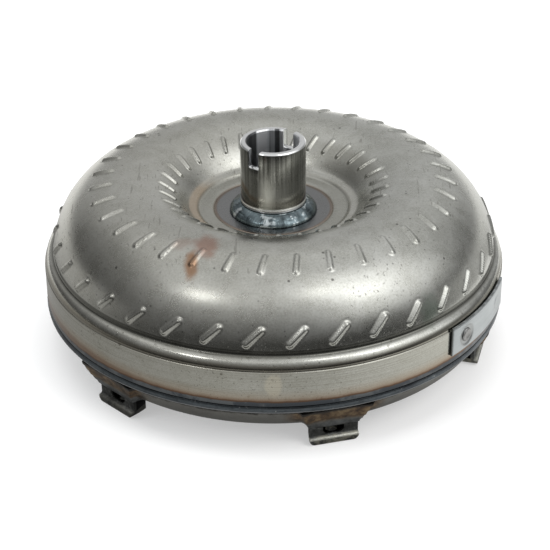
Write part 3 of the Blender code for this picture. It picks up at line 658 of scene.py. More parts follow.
def lug_steel():
    """Lugs: dark scale, rubbed bright on the lower lip and the edges, with painted highlights on
    the edges and the foot, and painted shade in the recess and on the -X side.
    """
    mat = Shading("scaled_lug_steel")
    mid = mat.noise(scale=160, detail=4, rough=0.7)
    fine = mat.noise(scale=1100, detail=3, rough=0.7)
    mat.colour = mat.ramp(mid, {
        0.32: (0.035, 0.036, 0.035), 0.52: (0.085, 0.087, 0.084), 0.70: (0.20, 0.205, 0.20)})
    rub = mat.times(mat.band(mat.z, span=(-0.001, 0.0050), soft=0.0004),
                    mat.step(mat.noise(scale=240, detail=3), span=(0.36, 0.62)))
    # painted shade: the rubbing shows weakly on the lugs towards -X, the side away from the light
    rub = mat.times(rub, mat.step(mat.x, span=(-0.070, 0.0), out=(0.25, 0.85)))
    mat.coat(rub, (0.34, 0.33, 0.27))
    # worn edges, lightened further as painted edge highlights
    pointed = mat.add("NewGeometry").outputs["Pointiness"]
    edge = mat.times(mat.step(pointed, span=(0.52, 0.59)), mat.step(fine, span=(0.35, 0.6)))
    mat.coat(edge, (0.40, 0.40, 0.38), amount=0.6)
    # painted highlight: a bright line on top of the foot's outer edge, weaker towards -X; painted
    # shade: a black recess behind it
    line = mat.times(mat.band(mat.z, span=(0.0034, 0.0047), soft=0.0003),
                     mat.step(mat.radius, span=(0.1376, 0.1384)))
    line = mat.times(line, mat.step(mat.x, span=(-0.070, 0.0), out=(0.15, 1.0)))
    mat.coat(mat.times(line, mat.step(fine, span=(0.34, 0.50), out=(0.35, 0.85))),
             (0.66, 0.66, 0.60))
    painted_shade_pocket = mat.times(mat.band(mat.z, span=(0.0042, 0.0140), soft=0.0003),
                       mat.fade(mat.radius, span=(0.1354, 0.1360)))
    mat.coat(painted_shade_pocket, (0.003, 0.003, 0.003))
    return mat.finish(mat.plus(0.34, mat.times(mid, 0.25)), mat.plus(mat.times(fine, 0.7), mid),
                      strength=0.5, distance=0.0002)


def plate_steel():
    """Balance plate: pale cold-rolled strip with faint rolling lines and a painted shadow along its
    top edge and ends.
    """
    mat = Shading("cold_rolled_plate")
    roll = mat.ring_noise(around=3.0, height=900, detail=3, rough=0.6)
    fine = mat.noise(scale=1200, detail=2, rough=0.6)
    blot = mat.noise(scale=60, detail=3, rough=0.6)
    tone = mat.plus(mat.times(roll, 0.35), mat.blend((fine, 0.25), (blot, 0.4)))
    mat.colour = mat.ramp(tone, {0.34: (0.43, 0.458, 0.468), 0.66: (0.57, 0.605, 0.615)})
    mat.coat(mat.scratches(across=1100, along=80, seed=2), (0.35, 0.35, 0.35), amount=0.5)
    angle = mat.ragged(mat.azimuth(), scale=500, amount=0.006, detail=2)
    # painted shadow: near-black along the top edge and at both ends
    top = mat.times(mat.step(mat.z, span=(0.06065, 0.06075)),
                    mat.step(mat.noise(scale=260, detail=2), span=(0.40, 0.55), out=(0.10, 0.50)))
    ends = mat.larger(mat.fade(angle, span=(math.radians(45.9), math.radians(46.1))),
                      mat.step(angle, span=(math.radians(73.5), math.radians(73.7))))
    depth = ((SKIRT_R + 0.7) * MM, (SKIRT_R + 1.2) * MM)
    ends = mat.times(ends, mat.step(mat.radius, depth, out=(1.0, 0.45)))
    mat.coat(mat.larger(ends, top), (0.015, 0.015, 0.015), amount=0.93)
    for azimuth, amount in zip(SPOT_AZIMUTHS, (0.5, 0.12)):
        centre = direction(azimuth) * (SKIRT_R + 1.8)
        spot = mat.blob((centre.x, centre.y, SPOT_Z), radii=(7.4,) * 3, edge=0.12)
        mat.coat(spot, (0.36, 0.36, 0.35), amount)
    return mat.finish(mat.plus(0.34, mat.times(fine, 0.12)), mat.plus(roll, fine),
                      strength=0.18, distance=0.0001)


def plain_metal(name, dark, light, rough=0.35, scale=500.0, bump=0.25, stain=None):
    """General worked metal: two-scale mottling, grain and faint scratches."""
    mat = Shading(name)
    mottle = mat.noise(scale * 0.12, detail=4, rough=0.6)
    grain = mat.noise(scale, detail=3, rough=0.7)
    mat.colour = mat.ramp(mat.blend((mottle, 0.6), (grain, 0.4)), {0.35: dark, 0.65: light})
    if stain is not None:
        mat.coat(mat.step(mat.noise(scale=45, detail=3), span=(0.45, 0.7), out=(0.0, 0.6)), stain)
    mat.coat(mat.scratches(across=1200, along=90, keep=0.48, seed=6),
             tuple(0.5 * c for c in dark), amount=0.4)
    return mat.finish(mat.plus(rough, mat.times(grain, 0.15)), mat.plus(grain, mottle),
                      strength=bump, distance=0.00012)


MAT = {
    "shell": shell_steel(),
    "hub": hub_steel(),
    "weld_hub": weld_metal("hub_weld_metal", base=(0.045, 0.058, 0.064),
                           tint=(0.150, 0.190, 0.205), rough=0.09),
    "weld_close": weld_metal("closure_weld_metal", base=(0.050, 0.056, 0.064),
                             tint=(0.100, 0.116, 0.128), rough=0.24, lip=True),
    "cover": cover_steel(),
    "lug": lug_steel(),
    "plate": plate_steel(),
    "pilot": turned_steel("turned_pilot_steel", rough=0.24, lines=1300.0),
    "blade": plain_metal("brazed_blade_steel", dark=(0.25, 0.22, 0.18), light=(0.45, 0.42, 0.36),
                         rough=0.38, scale=420, stain=(0.42, 0.30, 0.15)),
    "turbine_shell": plain_metal("drawn_turbine_steel", dark=(0.34, 0.32, 0.29),
                                 light=(0.52, 0.50, 0.46), rough=0.34, scale=520),
    "turbine_hub": turned_steel("turned_turbine_hub", light=(0.62, 0.61, 0.59),
                                dark=(0.40, 0.39, 0.37), rough=0.22, lines=1700.0),
    "aluminium": plain_metal("cast_aluminium", dark=(0.52, 0.53, 0.54), light=(0.70, 0.71, 0.72),
                             rough=0.42, scale=380, bump=0.5),
    "race": turned_steel("ground_bearing_steel", light=(0.76, 0.76, 0.77),
                         dark=(0.58, 0.58, 0.59), rough=0.10, lines=2600.0),
    "spring": plain_metal("tempered_spring_steel", dark=(0.15, 0.15, 0.17),
                          light=(0.28, 0.29, 0.32), rough=0.3, scale=700),
    "rivet": plain_metal("rivet_steel", dark=(0.30, 0.30, 0.30), light=(0.46, 0.46, 0.45),
                         rough=0.36, scale=900),
}


def paint(obj, material):
    obj.data.materials.clear()
    obj.data.materials.append(MAT[material])


def place(obj, material, node, body="housing"):
    """Give a piece its metal and put it in the frame in place of a CAD node."""
    paint(obj, material)
    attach(obj, body)
    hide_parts(node)


# ---------------------------------------------------------- impeller shell
DIMPLES = (
    # polar angle on the torus section, first azimuth, slant, half length, half width,
    # height, taper
    (16.4, 5.50, 45.0, 8.5, 2.15, 1.50, 0.00),
    (70.2, 6.95, 11.0, 8.3, 2.15, 1.25, 0.12),
    (122.0, 3.10, 13.0, 7.2, 1.80, 1.15, 0.12),
)
DIMPLE_PITCH = 360.0 / 35
# radius that turns polar angle into length along the section
DIMPLE_ARC_R = 48.6
# sunk centre (r, z), from the hub hole outwards, with its groove and two steps
WELL = (
    (21.35, 88.62), (24.0, 88.55), (28.3, 88.62), (31.0, 88.95), (34.5, 89.45), (37.4, 89.80),
    (37.9, 89.66), (38.25, 89.45), (38.6, 89.70), (39.2, 90.06), (42.0, 90.22), (46.6, 90.30),
    (47.6, 90.42), (48.5, 91.25), (49.4, 92.0), (50.6, 92.35), (52.6, 92.52), (53.9, 92.95),
    (54.9, 93.75),
)
# rounded shoulder (r, z) from the torus down to the skirt
SHOULDER = (
    (142.12, 67.9), (142.32, 67.1), (142.75, 66.5), (143.45, 66.15), (144.4, 65.7),
    (145.4, 65.0), (146.3, 64.0), (147.0, 62.8), (147.5, 61.7), (147.75, 60.8),
)


def dimple_height(polar, azimuth, radius):
    """Height of the raised tab embossings over the dome."""
    total = np.zeros_like(azimuth, float)
    for centre, first, slant, half, width, height, taper in DIMPLES:
        up = (centre - polar) * math.radians(1) * DIMPLE_ARC_R
        turn = (azimuth - first + DIMPLE_PITCH / 2) % DIMPLE_PITCH - DIMPLE_PITCH / 2
        side = radius * np.radians(turn)
        cosine, sine = math.cos(math.radians(slant)), math.sin(math.radians(slant))
        along = up * cosine - side * sine
        across = up * sine + side * cosine
        local_width = width * (1 + taper * np.clip(along / half, -1, 1))
        beyond = np.maximum(np.abs(along) - (half - width), 0)
        dist = np.sqrt(beyond ** 2 + across ** 2) / local_width
        rim = -0.10 * np.exp(-((dist - 1.22) / 0.22) ** 2)
        total = total + height * (smoothstep((1.04 - dist) / 0.78) + rim)
    return total


def dome_angles():
    """Polar angles of the dome rings, denser across the embossings."""
    angles = [139.4]
    while angles[-1] > 5.9:
        reach = zip((d[0] for d in DIMPLES), (10.5, 11.0, 10.0))
        gap = min(abs(angles[-1] - centre) - half for centre, half in reach)
        angles.append(angles[-1] - (1.02 if gap < 0 else min(3.4, 1.02 + 0.5 * gap)))
    return angles


def impeller_shell():
    coarse, fine = spaced(210), spaced(840)
    rings = rings_from(WELL, coarse)
    for polar in dome_angles():
        turn = math.radians(polar)
        # slightly wider outside the torus centre
        squash = 1.0 + (48.8 / TORUS_A - 1.0) * max(0.0, math.cos(turn))
        radius = TORUS_R + TORUS_A * squash * math.cos(turn)
        level = TORUS_Z + TORUS_A * math.sin(turn)
        rise = dimple_height(polar, fine, radius)
        rings.append(ring_points(radius + rise * math.cos(turn), level + rise * math.sin(turn),
                                 fine))
    # shoulder, oxide step and machined skirt
    outer = smooth_line(SHOULDER, 0.6)
    outer += [(147.8, 60.2), (147.8, 59.4), (147.9, 59.05), (148.2, 58.85)]
    outer += [(SKIRT_R, z) for z in (58.7, 58.3, 57.8, 52.0, 46.0, 40.0, SKIRT_END + 0.5)]
    outer.append((SKIRT_R - 0.3, SKIRT_END))
    inner = [(SKIRT_R - 3.1, SKIRT_END), (SKIRT_R - SHELL_T, SKIRT_END + 0.4),
             (SKIRT_R - SHELL_T, 60.0), (143.6, 62.6), (141.2, 65.2), (139.2, 68.0)]
    inner += arc(TORUS_R, TORUS_Z, TORUS_A - SHELL_T, 8, 80, 14, 45.3 / 45.0)[1:]
    inner += arc(TORUS_R, TORUS_Z, TORUS_A - SHELL_T, 86, 144, 12)
    inner += [(53.4, 86.9), (50.0, 86.2), (47.0, 86.1), (34.0, 86.1), (21.7, 86.1), (21.35, 86.4)]
    rings += rings_from(outer + inner, coarse)
    place(rings_object("impeller_shell_outer", rings, 50.0), "shell", "impeller_shell")


# --------------------------------------------------------------------- hub
def impeller_hub():
    """Hub tube with a foot flange, a low collar and a slot across its top."""
    rad, bore, top = HUB_R, HUB_BORE, HUB_TOP
    collar, chamfer = rad + 0.28, 0.9
    profile = [(bore, 82.5), (30.0, 82.5), (30.0, 85.8), (rad, 85.8), (rad, 95.3),
               (collar, 95.8), (collar, 97.3), (rad, 97.9), (rad, top - chamfer),
               (rad - chamfer, top), (bore + chamfer, top), (bore, top - chamfer)]
    obj = lathe("pump_drive_hub", profile, 192, rad=0.25, steps=2)
    slot = [(-4.0, -40.0), (4.0, -40.0), (4.0, 40.0), (-4.0, 40.0)]
    tool = prism_up("slot_tool", slot, top - 12.0, top + 8.0)
    bevel(tool, 0.6, 3)
    move(tool, Matrix.Rotation(math.radians(-37.0), 4, "Z"))
    cut(obj, tool)
    merge_close(obj)
    smooth(obj, 30)
    bevel(obj, 0.35, 2, 55)
    place(obj, "hub", "impeller_hub")


# ------------------------------------------------------------------- welds
def weld_bead(name, material, node, crown, root, seg, ripple, pitch, lean, seed, drift):
    """Laid bead: an open (r, z) crown with overlapping ripples, closed by root points.

    ripple and drift are heights in mm, pitch is the ripple spacing in degrees, and lean
    shifts the ripples along the bead at mid crown.
    """
    azimuths = spaced(seg)
    profile = smooth_line(crown, 0.45)
    centre = np.array(profile).mean(0)
    rng = np.random.default_rng(seed)
    phase = np.cumsum(rng.normal(1.0, 0.16, seg))
    phase = (phase - phase[0]) / (phase[-1] - phase[0] + 1.0) * round(360.0 / pitch)
    knots = rng.normal(0, 1, 48)
    wander = np.interp(azimuths, np.arange(49) * 7.5, np.append(knots, knots[0]))
    rings = []
    for i, (r, z) in enumerate(profile):
        arch = math.sin(math.pi * (i / (len(profile) - 1)))
        part = (phase + lean * arch) % 1.0
        wave = np.where(part < 0.8, part / 0.8, (1 - part) / 0.2)
        rise = ripple * (wave - 0.5) * arch ** 0.7 + drift * wander * arch
        away = np.array([r, z]) - centre
        away /= np.linalg.norm(away)
        rings.append(ring_points(r + rise * away[0], z + rise * away[1], azimuths))
    rings += rings_from(root, azimuths)
    place(rings_object(name, rings, 60.0), material, node)


def hub_weld():
    inner = HUB_R + 0.32
    crown = [(28.1, 88.95), (27.9, 89.9), (26.9, 91.4), (25.2, 92.9), (23.4, 94.0),
             (22.1, 94.7), (inner, 95.1)]
    root = [(inner, 93.5), (inner, 89.2), (24.0, 88.95)]
    weld_bead("hub_fillet_weld", "weld_hub", "hub_weld_bead", crown, root, seg=720,
              ripple=0.07, pitch=3.1, lean=0.9, seed=3, drift=0.30)


def closure_weld():
    inner = COVER_R + 0.3
    crown = [(148.25, 35.15), (148.55, 34.2), (148.62, 33.0), (148.45, 31.8), (148.0, 30.8),
             (147.0, 30.2), (145.6, 29.9)]
    weld_bead("closure_lap_weld", "weld_close", "closure_weld_bead", crown,
              [(inner, 29.85), (inner, 35.15)], seg=1080,
              ripple=0.16, pitch=1.1, lean=0.8, seed=11, drift=0.05)


# ------------------------------------------------------------------- cover
COVER_WALL = 4.5
CORNER_RAD, CORNER_Z = 26.0, 34.7
CORNER_R = COVER_R - CORNER_RAD


def boss_planes():
    """Planes of one boss as (normal, offset) in (outward, tangential, up)."""
    low, high = Vector((138.0, 0, 11.6)), Vector((145.6, 0, 28.6))
    along = (high - low).normalized()
    face = Vector((along.z, 0, -along.x))
    side_low, side_high = Vector((138.0, 15.5, 11.6)), Vector((145.6, 22.5, 28.6))
    side = (side_high - side_low).normalized().cross(Vector((1, 0, 0))).normalized()
    return [(face, face.dot(low)), (Vector((0, 0, -1)), -11.6), (side, side.dot(side_low))]


def front_cover():
    """Cover as a height field round its corner centre, so the bosses flow out of it."""
    azimuths = spaced(720)
    outer = [(12.4, 11.9)]
    outer += smooth_line([(12.9, 11.7), (40.0, 11.7), (57.0, 11.7), (59.0, 11.45), (61.5, 10.2),
                          (64.0, 9.0), (66.0, 8.72), (80.0, 8.7), (98.0, 8.7)], 3.2)
    rings = rings_from(outer, azimuths)
    half_pitch = LUG_PITCH / 2
    turn = np.radians((azimuths - LUG_FIRST + half_pitch) % LUG_PITCH - half_pitch)
    cosine, sine = np.cos(turn), np.abs(np.sin(turn))
    planes = boss_planes()
    # the blend between corner and boss widens towards the boss flanks
    width = 1.1 + 6.0 * smoothstep((sine * CORNER_R - 8.0) / 8.0)
    for angle in [*np.linspace(-96, -60, 12), *np.linspace(-57.5, 0, 40)]:
        # ray from the corner centre in the meridional plane of each azimuth
        ray_r, ray_z = math.cos(math.radians(angle)), math.sin(math.radians(angle))
        dist = CORNER_RAD
        if angle >= -90:
            boss = np.full(len(azimuths), 60.0)
            for normal, offset in planes:
                outward = normal.x * cosine + normal.y * sine
                room = offset - (outward * CORNER_R + normal.z * CORNER_Z)
                slope = outward * ray_r + normal.z * ray_z
                hit = np.where(slope > 1e-4, room / np.maximum(slope, 1e-4), np.inf)
                boss = np.minimum(boss, hit)
            boss = np.where(sine * CORNER_R < 34.0, boss, 0.0)
            # smooth maximum of the plain corner and the boss
            share = np.clip(0.5 + 0.5 * (boss - CORNER_RAD) / width, 0, 1)
            dist = CORNER_RAD * (1 - share) + boss * share + width * share * (1 - share)
        radius, level = CORNER_R + dist * ray_r, CORNER_Z + dist * ray_z
        # stay under the closure weld
        radius = np.where(level > 28.9, np.minimum(radius, COVER_R), radius)
        rings.append(ring_points(radius, level, azimuths))
    rings += rings_from([(COVER_R, 38.0), (COVER_R, 44.7), (COVER_R - 0.3, 45.0),
                         (COVER_R - COVER_WALL + 0.3, 45.0), (COVER_R - COVER_WALL, 44.7)],
                        azimuths)
    inner = arc(CORNER_R, CORNER_Z, CORNER_RAD - COVER_WALL, 0, -90, 12)
    inner += [(98.0, 13.2), (67.0, 13.2), (64.5, 13.8), (61.5, 15.9), (59.0, 16.6), (40.0, 16.6),
              (12.7, 16.6), (12.4, 16.3)]
    rings += rings_from(inner, azimuths[::4])
    place(rings_object("front_cover_shell", rings, 40.0), "cover", "front_cover")


# -------------------------------------------------------------------- lugs
LUG_HALF_WIDTH = 15.5
LUG_WEB_R = 137.1
LUG_CORNER = 4.2
LUG_FLAT = 11.4
# side section (outward, up)
LUG_SECTION = (
    (125.0, 0.4), (125.4, 0.0), (138.9, 0.0), (139.4, 0.5), (139.4, 3.9), (139.0, 4.5),
    (137.4, 5.0), (137.0, 5.6), (LUG_WEB_R, LUG_TOP - 0.4), (136.7, LUG_TOP),
    (130.8, LUG_TOP), (128.2, 9.9), (125.0, 8.8),
)
# arched window (tangential, up), open at the top; the first half is mirrored
WINDOW_HALF = ((-6.6, 13.0), (-6.6, 8.4), (-6.0, 7.3), (-4.4, 6.15), (-3.6, 5.9))


def lug(index):
    """Bracket lug: thick foot with a hole, recessed web and a window at the top."""
    half = [LUG_HALF_WIDTH - 0.26 * (LUG_WEB_R - min(r, LUG_WEB_R)) for r, _ in LUG_SECTION]
    sides = [[(side * h, r, z) for h, (r, z) in zip(half, LUG_SECTION)] for side in (-1, 1)]
    obj = extrude("bolting_lug_%d" % index, *sides)
    # lower corners rounded in the face
    for side in (-1, 1):
        corner = [(20.0, -3.0), (20.0, LUG_CORNER), (LUG_FLAT + LUG_CORNER, LUG_CORNER)]
        corner += [(LUG_FLAT + LUG_CORNER * math.sin(t), LUG_CORNER - LUG_CORNER * math.cos(t))
                   for t in np.linspace(math.pi / 2, 0, 9)[1:]]
        corner.append((LUG_FLAT, -3.0))
        cut(obj, prism_out("corner", [(side * x, z) for x, z in corner], 120.0, 145.0))
    merge_close(obj)
    bevel(obj, 0.7, 3, 50)
    hole = [(4.0 * math.cos(TAU * i / 48), 131.0 + 4.0 * math.sin(TAU * i / 48))
            for i in range(48)]
    cut(obj, prism_up("hole", hole, -3.0, 20.0))
    window = [*WINDOW_HALF, *((-x, z) for x, z in WINDOW_HALF[::-1])]
    cut(obj, prism_out("window", window, 132.6, 142.0))
    merge_close(obj)
    smooth(obj, 35)
    bevel(obj, 0.25, 2, 55)
    move(obj, frame_at(LUG_FIRST + LUG_PITCH * (index - 1), 0.0, 0.0))
    place(obj, "lug", "lug_bracket_%d" % index)


# ----------------------------------------------------------- balance plate
PLATE_START, PLATE_END = 45.8, 73.8
PLATE_LOW, PLATE_HIGH = 41.8, 60.8
PLATE_INNER, PLATE_OUTER = SKIRT_R + 0.3, SKIRT_R + 2.0
# length of one degree along the plate, in mm
PLATE_DEGREE = math.radians(1) * 150
# weld nugget (radius, height), from its crown outwards
SPOT_PROFILE = (
    (1.2, 0.40), (2.2, 0.62), (2.9, 0.86), (3.5, 0.92), (4.0, 0.72), (4.35, 0.35), (4.4, 0.02),
)


def balance_weight():
    """Curved strip with eased edges and two pressed-in weld spots."""
    columns, rows = 112, 40
    azimuth, level = np.meshgrid(np.linspace(PLATE_START, PLATE_END, columns + 1),
                                 np.linspace(PLATE_LOW, PLATE_HIGH, rows + 1), indexing="ij")
    end_gap = np.minimum(azimuth - PLATE_START, PLATE_END - azimuth) * PLATE_DEGREE
    side_gap = np.minimum(level - PLATE_LOW, PLATE_HIGH - level)
    sink = 0.35 * np.exp(-np.minimum(end_gap, side_gap) / 0.25)
    for centre, depth in zip(SPOT_AZIMUTHS, (1.0, 0.3)):
        dist = np.hypot((azimuth - centre) * PLATE_DEGREE, level - SPOT_Z)
        sink += depth * 0.55 * smoothstep((7.2 - dist) / 1.3)
        sink -= depth * 0.12 * np.exp(-((dist - 7.9) / 0.7) ** 2)
    verts = np.concatenate([ring_points(PLATE_OUTER - sink, level, azimuth).reshape(-1, 3),
                            ring_points(PLATE_INNER, level, azimuth).reshape(-1, 3)])

    def at(i, j, inner=0):
        return inner * (columns + 1) * (rows + 1) + i * (rows + 1) + j

    faces = []
    for i in range(columns):
        for j in range(rows):
            faces.append([at(i, j), at(i + 1, j), at(i + 1, j + 1), at(i, j + 1)])
            faces.append([at(i, j, 1), at(i, j + 1, 1), at(i + 1, j + 1, 1), at(i + 1, j, 1)])
        faces.append([at(i, 0), at(i, 0, 1), at(i + 1, 0, 1), at(i + 1, 0)])
        faces.append([at(i, rows), at(i + 1, rows), at(i + 1, rows, 1), at(i, rows, 1)])
    for j in range(rows):
        faces.append([at(0, j), at(0, j + 1), at(0, j + 1, 1), at(0, j, 1)])
        faces.append([at(columns, j), at(columns, j, 1), at(columns, j + 1, 1),
                      at(columns, j + 1)])
    place(mesh_object("balance_plate", verts, faces, 40.0), "plate", "balance_weight")


def spot_mark(index, material, rise):
    """Weld nugget in the plate's pressed spot: a shallow disc with a raised rim."""
    seg = 48
    rings = [(rad, height * rise) for rad, height in SPOT_PROFILE] + [(4.4, -0.12)]
    turns = np.arange(seg) * TAU / seg
    verts = [(rad * math.cos(t), height, rad * math.sin(t)) for rad, height in rings for t in turns]
    faces = []
    for k in range(len(rings) - 1):
        faces += wrap_faces(k * seg, (k + 1) * seg, seg, seg)
    faces.append(list(range(seg))[::-1])
    faces.append(list(range((len(rings) - 1) * seg, len(rings) * seg)))
    obj = mesh_object("weld_spot_%d" % index, verts, faces, 50.0)
    move(obj, frame_at(SPOT_AZIMUTHS[index - 1], SKIRT_R + 1.62, SPOT_Z))
    place(obj, material, "balance_weight_spot_weld_%d" % index)


# ------------------------------------------------------------------- pilot
def pilot():
    """Spigot at the centre of the cover, and the fillet weld round it."""
    rad, chamfer = 17.0, 1.6
    profile = [(0.0, 0.0), (rad - chamfer, 0.0), (rad, chamfer), (rad, 11.4), (12.1, 11.4),
               (12.1, 16.3), (9.0, 16.3), (9.0, 6.0), (0.0, 6.0)]
    place(lathe("pilot_spigot", profile, rad=0.35), "pilot", "crankshaft_pilot")
    inner = rad + 0.3
    crown = [(21.4, 11.35), (20.9, 10.4), (19.8, 9.2), (18.5, 8.2), (inner, 7.7)]
    weld_bead("pilot_fillet_weld", "weld_close", "pilot_weld_bead", crown, [(inner, 11.35)],
              seg=480, ripple=0.45, pitch=6.0, lean=0.6, seed=21, drift=0.12)


# -------------------------------------------------------------- the inside
WASHERS = (
    # node, body, material, inner and outer radius, lower and upper height
    ("cover_bearing_race", "housing", "race", 13.6, 24.0, 16.9, 18.8),
    ("hub_bearing_race", "housing", "race", 19.5, 29.2, 81.4, 82.2),
    ("turbine_front_race", "turbine", "race", 13.6, 23.6, 21.4, 22.2),
    ("turbine_rear_race", "turbine", "race", 24.2, 33.6, 47.6, 48.4),
    ("stator_front_race", "stator", "race", 24.2, 33.6, 51.0, 51.8),
    ("stator_rear_race", "stator", "race", 19.5, 29.2, 78.0, 78.8),
    ("freewheel_front_plate", "stator", "spring", 17.4, 39.6, 52.1, 54.1),
    ("freewheel_rear_plate", "stator", "spring", 17.4, 39.6, 75.7, 77.7),
)
# CAD pieces that stay as they are and only get a metal
CAD_KEEP = {
    "impeller_blade_wheel": "blade", "turbine_blade_wheel": "blade",
    "turbine_hub": "turbine_hub", "stator_wheel": "aluminium",
    "freewheel_outer_race": "race", "freewheel_inner_race": "race",
    "cover_needle_cage": "race", "middle_needle_cage": "race", "hub_needle_cage": "race",
}
for i in range(1, 9):
    CAD_KEEP["freewheel_roller_%d" % i] = "race"
    CAD_KEEP["freewheel_spring_%d" % i] = "spring"
    CAD_KEEP["turbine_rivet_%d" % i] = "rivet"


def washers():
    for node, body, material, inner, outer, low, high in WASHERS:
        profile = [(inner, low), (outer, low), (outer, high), (inner, high)]
        place(lathe(node + "_turned", profile, rad=0.15, steps=2), material, node, body)


def turbine_shell():
    profile = arc(TORUS_R, TURBINE_Z, TURBINE_A, -2, -146, 48)
    profile += [(53.5, 37.0), (50.0, 36.3), (34.6, 36.3), (34.6, 37.9), (49.6, 37.9),
                (53.0, 38.6)]
    profile += arc(TORUS_R, TURBINE_Z, TURBINE_A - 1.6, -144, -2, 48)
    obj = lathe("turbine_shell_drawn", profile, 180, rad=0)
    place(obj, "turbine_shell", "turbine_shell", "turbine")


def carry_over():
    for node, material in CAD_KEEP.items():
        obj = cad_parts[node]
        if not obj.hide_render:
            paint(obj, material)


# ------------------------------------------------------------------- stage
def studio_floor():
    """Pale floor that shows differently to the camera and in reflections."""
    bpy.ops.mesh.primitive_plane_add(size=24.0, location=(0, 0, -0.0002))
    floor = bpy.context.object
    floor.name = "studio_floor"
    mat = Shading("pale_floor")
    bsdf = mat.tree.nodes["Principled BSDF"]
    mat.put((0.90, 0.90, 0.90), bsdf.inputs["Base Color"])
    mat.put(0.9, bsdf.inputs["Roughness"])
    mat.put(0.1, bsdf.inputs["Specular IOR Level"])
    # in the metal the floor shows as a lit pool round the part; further out it is dark
    # towards -Y and pale towards +Y
    towards = mat.math("DIVIDE", mat.y, mat.larger(mat.radius, 1e-4))
    far = mat.plus(mat.step(towards, span=(-0.75, 0.35), out=(0.06, 0.55)),
                   mat.step(towards, span=(0.35, 0.95), out=(0.0, 0.75)))
    near = mat.plus(mat.step(mat.x, span=(-0.25, -0.02), out=(0.36, 0.58)),
                    mat.step(mat.x, span=(0.02, 0.26), out=(0.0, 0.62)))
    glow = mat.mix_values(mat.step(mat.radius, span=(0.235, 0.315)), near, far)
    # painted shadow in the reflections: the glow dims close round the part
    glow = mat.times(glow, mat.step(mat.radius, span=(0.110, 0.200), out=(0.22, 1.0)))
    reflected = mat.add("Emission", {"Color": (1.0, 0.995, 0.975), "Strength": glow})
    lift = mat.add("Emission", {"Color": (0.97, 0.97, 0.97)})
    path = mat.add("LightPath").outputs
    seen = mat.mix_shaders(mat.times(path["Is Camera Ray"], 0.40), bsdf.outputs[0],
                           lift.outputs[0])
    upper = mat.mix_shaders(path["Is Glossy Ray"], seen, reflected.outputs[0])
    # clear from below
    both = mat.mix_shaders(mat.add("NewGeometry").outputs["Backfacing"], upper,
                           mat.add("BsdfTransparent").outputs[0])
    mat.put(both, mat.tree.nodes["Material Output"].inputs["Surface"])
    floor.data.materials.append(mat.material)


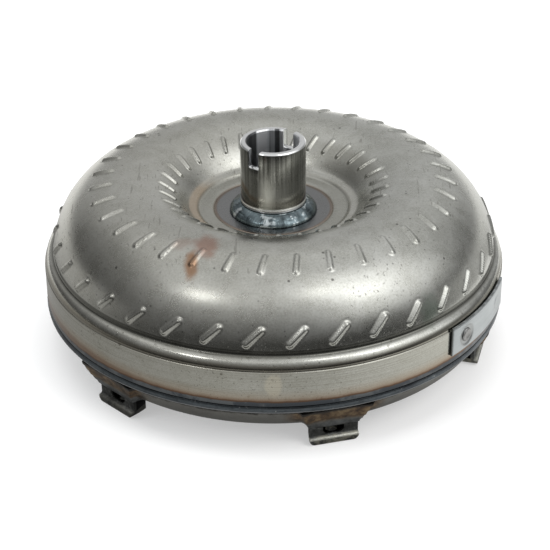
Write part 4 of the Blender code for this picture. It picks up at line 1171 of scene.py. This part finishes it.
def studio_world():
    """Soft surroundings: even grey light, with a drawn studio for reflections."""
    world = bpy.data.worlds.new("soft_studio")
    bpy.context.scene.world = world
    world.use_nodes = True
    sky = Shading(tree=world.node_tree, coords="Generated")
    azimuth = sky.azimuth()
    # grey level from straight down (0) to straight up (1)
    greys = {0.32: 0.04, 0.42: 0.11, 0.50: 0.17, 0.60: 0.20, 0.675: 0.30,
             0.75: 0.43, 0.82: 0.54, 0.86: 0.76, 0.93: 0.84, 1.0: 0.70}
    base = sky.ramp(sky.math("MULTIPLY_ADD", sky.z, 0.5, 0.5),
                    {height: (grey,) * 3 for height, grey in greys.items()})
    # darker towards -X, a large window towards +X and a small one towards -X
    gloom = sky.times(sky.band(azimuth, span=(-2.35, -1.25), soft=0.30),
                      sky.step(sky.z, span=(0.62, 0.90), out=(0.42, 0.0)))
    level = sky.times(base, sky.minus(1.0, gloom))
    window = sky.times(sky.band(azimuth, span=(0.62, 1.70), soft=0.38),
                       sky.times(sky.step(sky.z, span=(0.04, 0.45)),
                                 sky.step(sky.z, span=(0.86, 1.0), out=(1.0, 0.35))))
    level = sky.plus(level, sky.times(window, 0.90))
    small = sky.times(sky.band(azimuth, span=(-1.08, -0.62), soft=0.14),
                      sky.band(sky.z, span=(0.68, 0.79), soft=0.05))
    level = sky.plus(level, sky.times(small, 0.34))
    # round lamps: azimuth, elevation and size in degrees, strength
    for lamp_azimuth, elevation, size, power in (
            (-47, 48, 5.0, 4.2), (35, 60, 6.0, 1.6), (58, 44, 9.0, 1.2)):
        aim = direction(lamp_azimuth) * math.cos(math.radians(elevation))
        aim.z = math.sin(math.radians(elevation))
        dot = sky.add("VectorMath", {0: sky.point, 1: tuple(aim)}, operation="DOT_PRODUCT")
        rim = tuple(math.cos(math.radians(size * k)) for k in (1.25, 0.75))
        level = sky.plus(level, sky.times(sky.step(dot.outputs["Value"], rim), power))
    # a plain pale wall behind, towards +Y
    behind = sky.times(sky.step(sky.math("ABSOLUTE", azimuth), span=(2.15, 2.80)),
                       sky.fade(sky.z, span=(0.55, 0.9)))
    level = sky.mix_values(sky.times(behind, 0.9), level,
                           sky.step(sky.x, span=(-0.5, 0.5), out=(0.52, 0.68)))
    glossy = sky.add("LightPath").outputs["Is Glossy Ray"]
    sky.put(sky.mix(glossy, (0.69, 0.70, 0.71), level),
            sky.tree.nodes["Background"].inputs["Color"])


def link_aimed(name, data, location, rotation):
    obj = bpy.data.objects.new(name, data)
    bpy.context.scene.collection.objects.link(obj)
    obj.location = location
    obj.rotation_euler = rotation
    return obj


def softbox(name, location, size, power, colour=(1, 1, 1)):
    """Square light aimed at the part, not seen in reflections."""
    light = bpy.data.lights.new(name, "AREA")
    light.shape = "RECTANGLE"
    light.size = light.size_y = size
    light.energy = power
    light.color = colour
    aim = (Vector((0, 0, 0.05)) - Vector(location)).to_track_quat("-Z", "Y").to_euler()
    link_aimed(name, light, location, aim).visible_glossy = False


def camera():
    data = bpy.data.cameras.new("camera")
    data.sensor_width = 36.0
    data.lens = 110.7
    data.clip_start, data.clip_end = 0.05, 50.0
    elevation, distance, roll = math.radians(30.03), 1.115, math.radians(-0.3)
    target = Vector((0.0008, 0.0, 0.03894))
    location = target + Vector((0, -math.cos(elevation), math.sin(elevation))) * distance
    scene = bpy.context.scene
    obj = link_aimed("camera", data, location, (0, 0, 0))
    aim = (target - obj.location).to_track_quat("-Z", "Y").to_matrix()
    obj.rotation_euler = (aim @ Matrix.Rotation(roll, 3, "Z")).to_euler()
    scene.camera = obj
    scene.view_settings.view_transform = "Standard"
    scene.view_settings.look = "None"


impeller_shell()
impeller_hub()
hub_weld()
closure_weld()
front_cover()
for k in range(1, LUG_COUNT + 1):
    lug(k)
balance_weight()
spot_mark(1, "rivet", rise=1.0)
spot_mark(2, "plate", rise=0.45)
pilot()
washers()
turbine_shell()
carry_over()
studio_floor()
studio_world()
softbox("key_softbox", (1.25, -0.75, 1.35), size=1.2, power=22.0, colour=(1.0, 0.99, 0.97))
softbox("top_softbox", (-0.2, 0.25, 1.9), size=1.8, power=30.0)
softbox("left_fill", (-1.5, -0.5, 0.8), size=1.0, power=8.0, colour=(0.97, 0.99, 1.0))
camera()
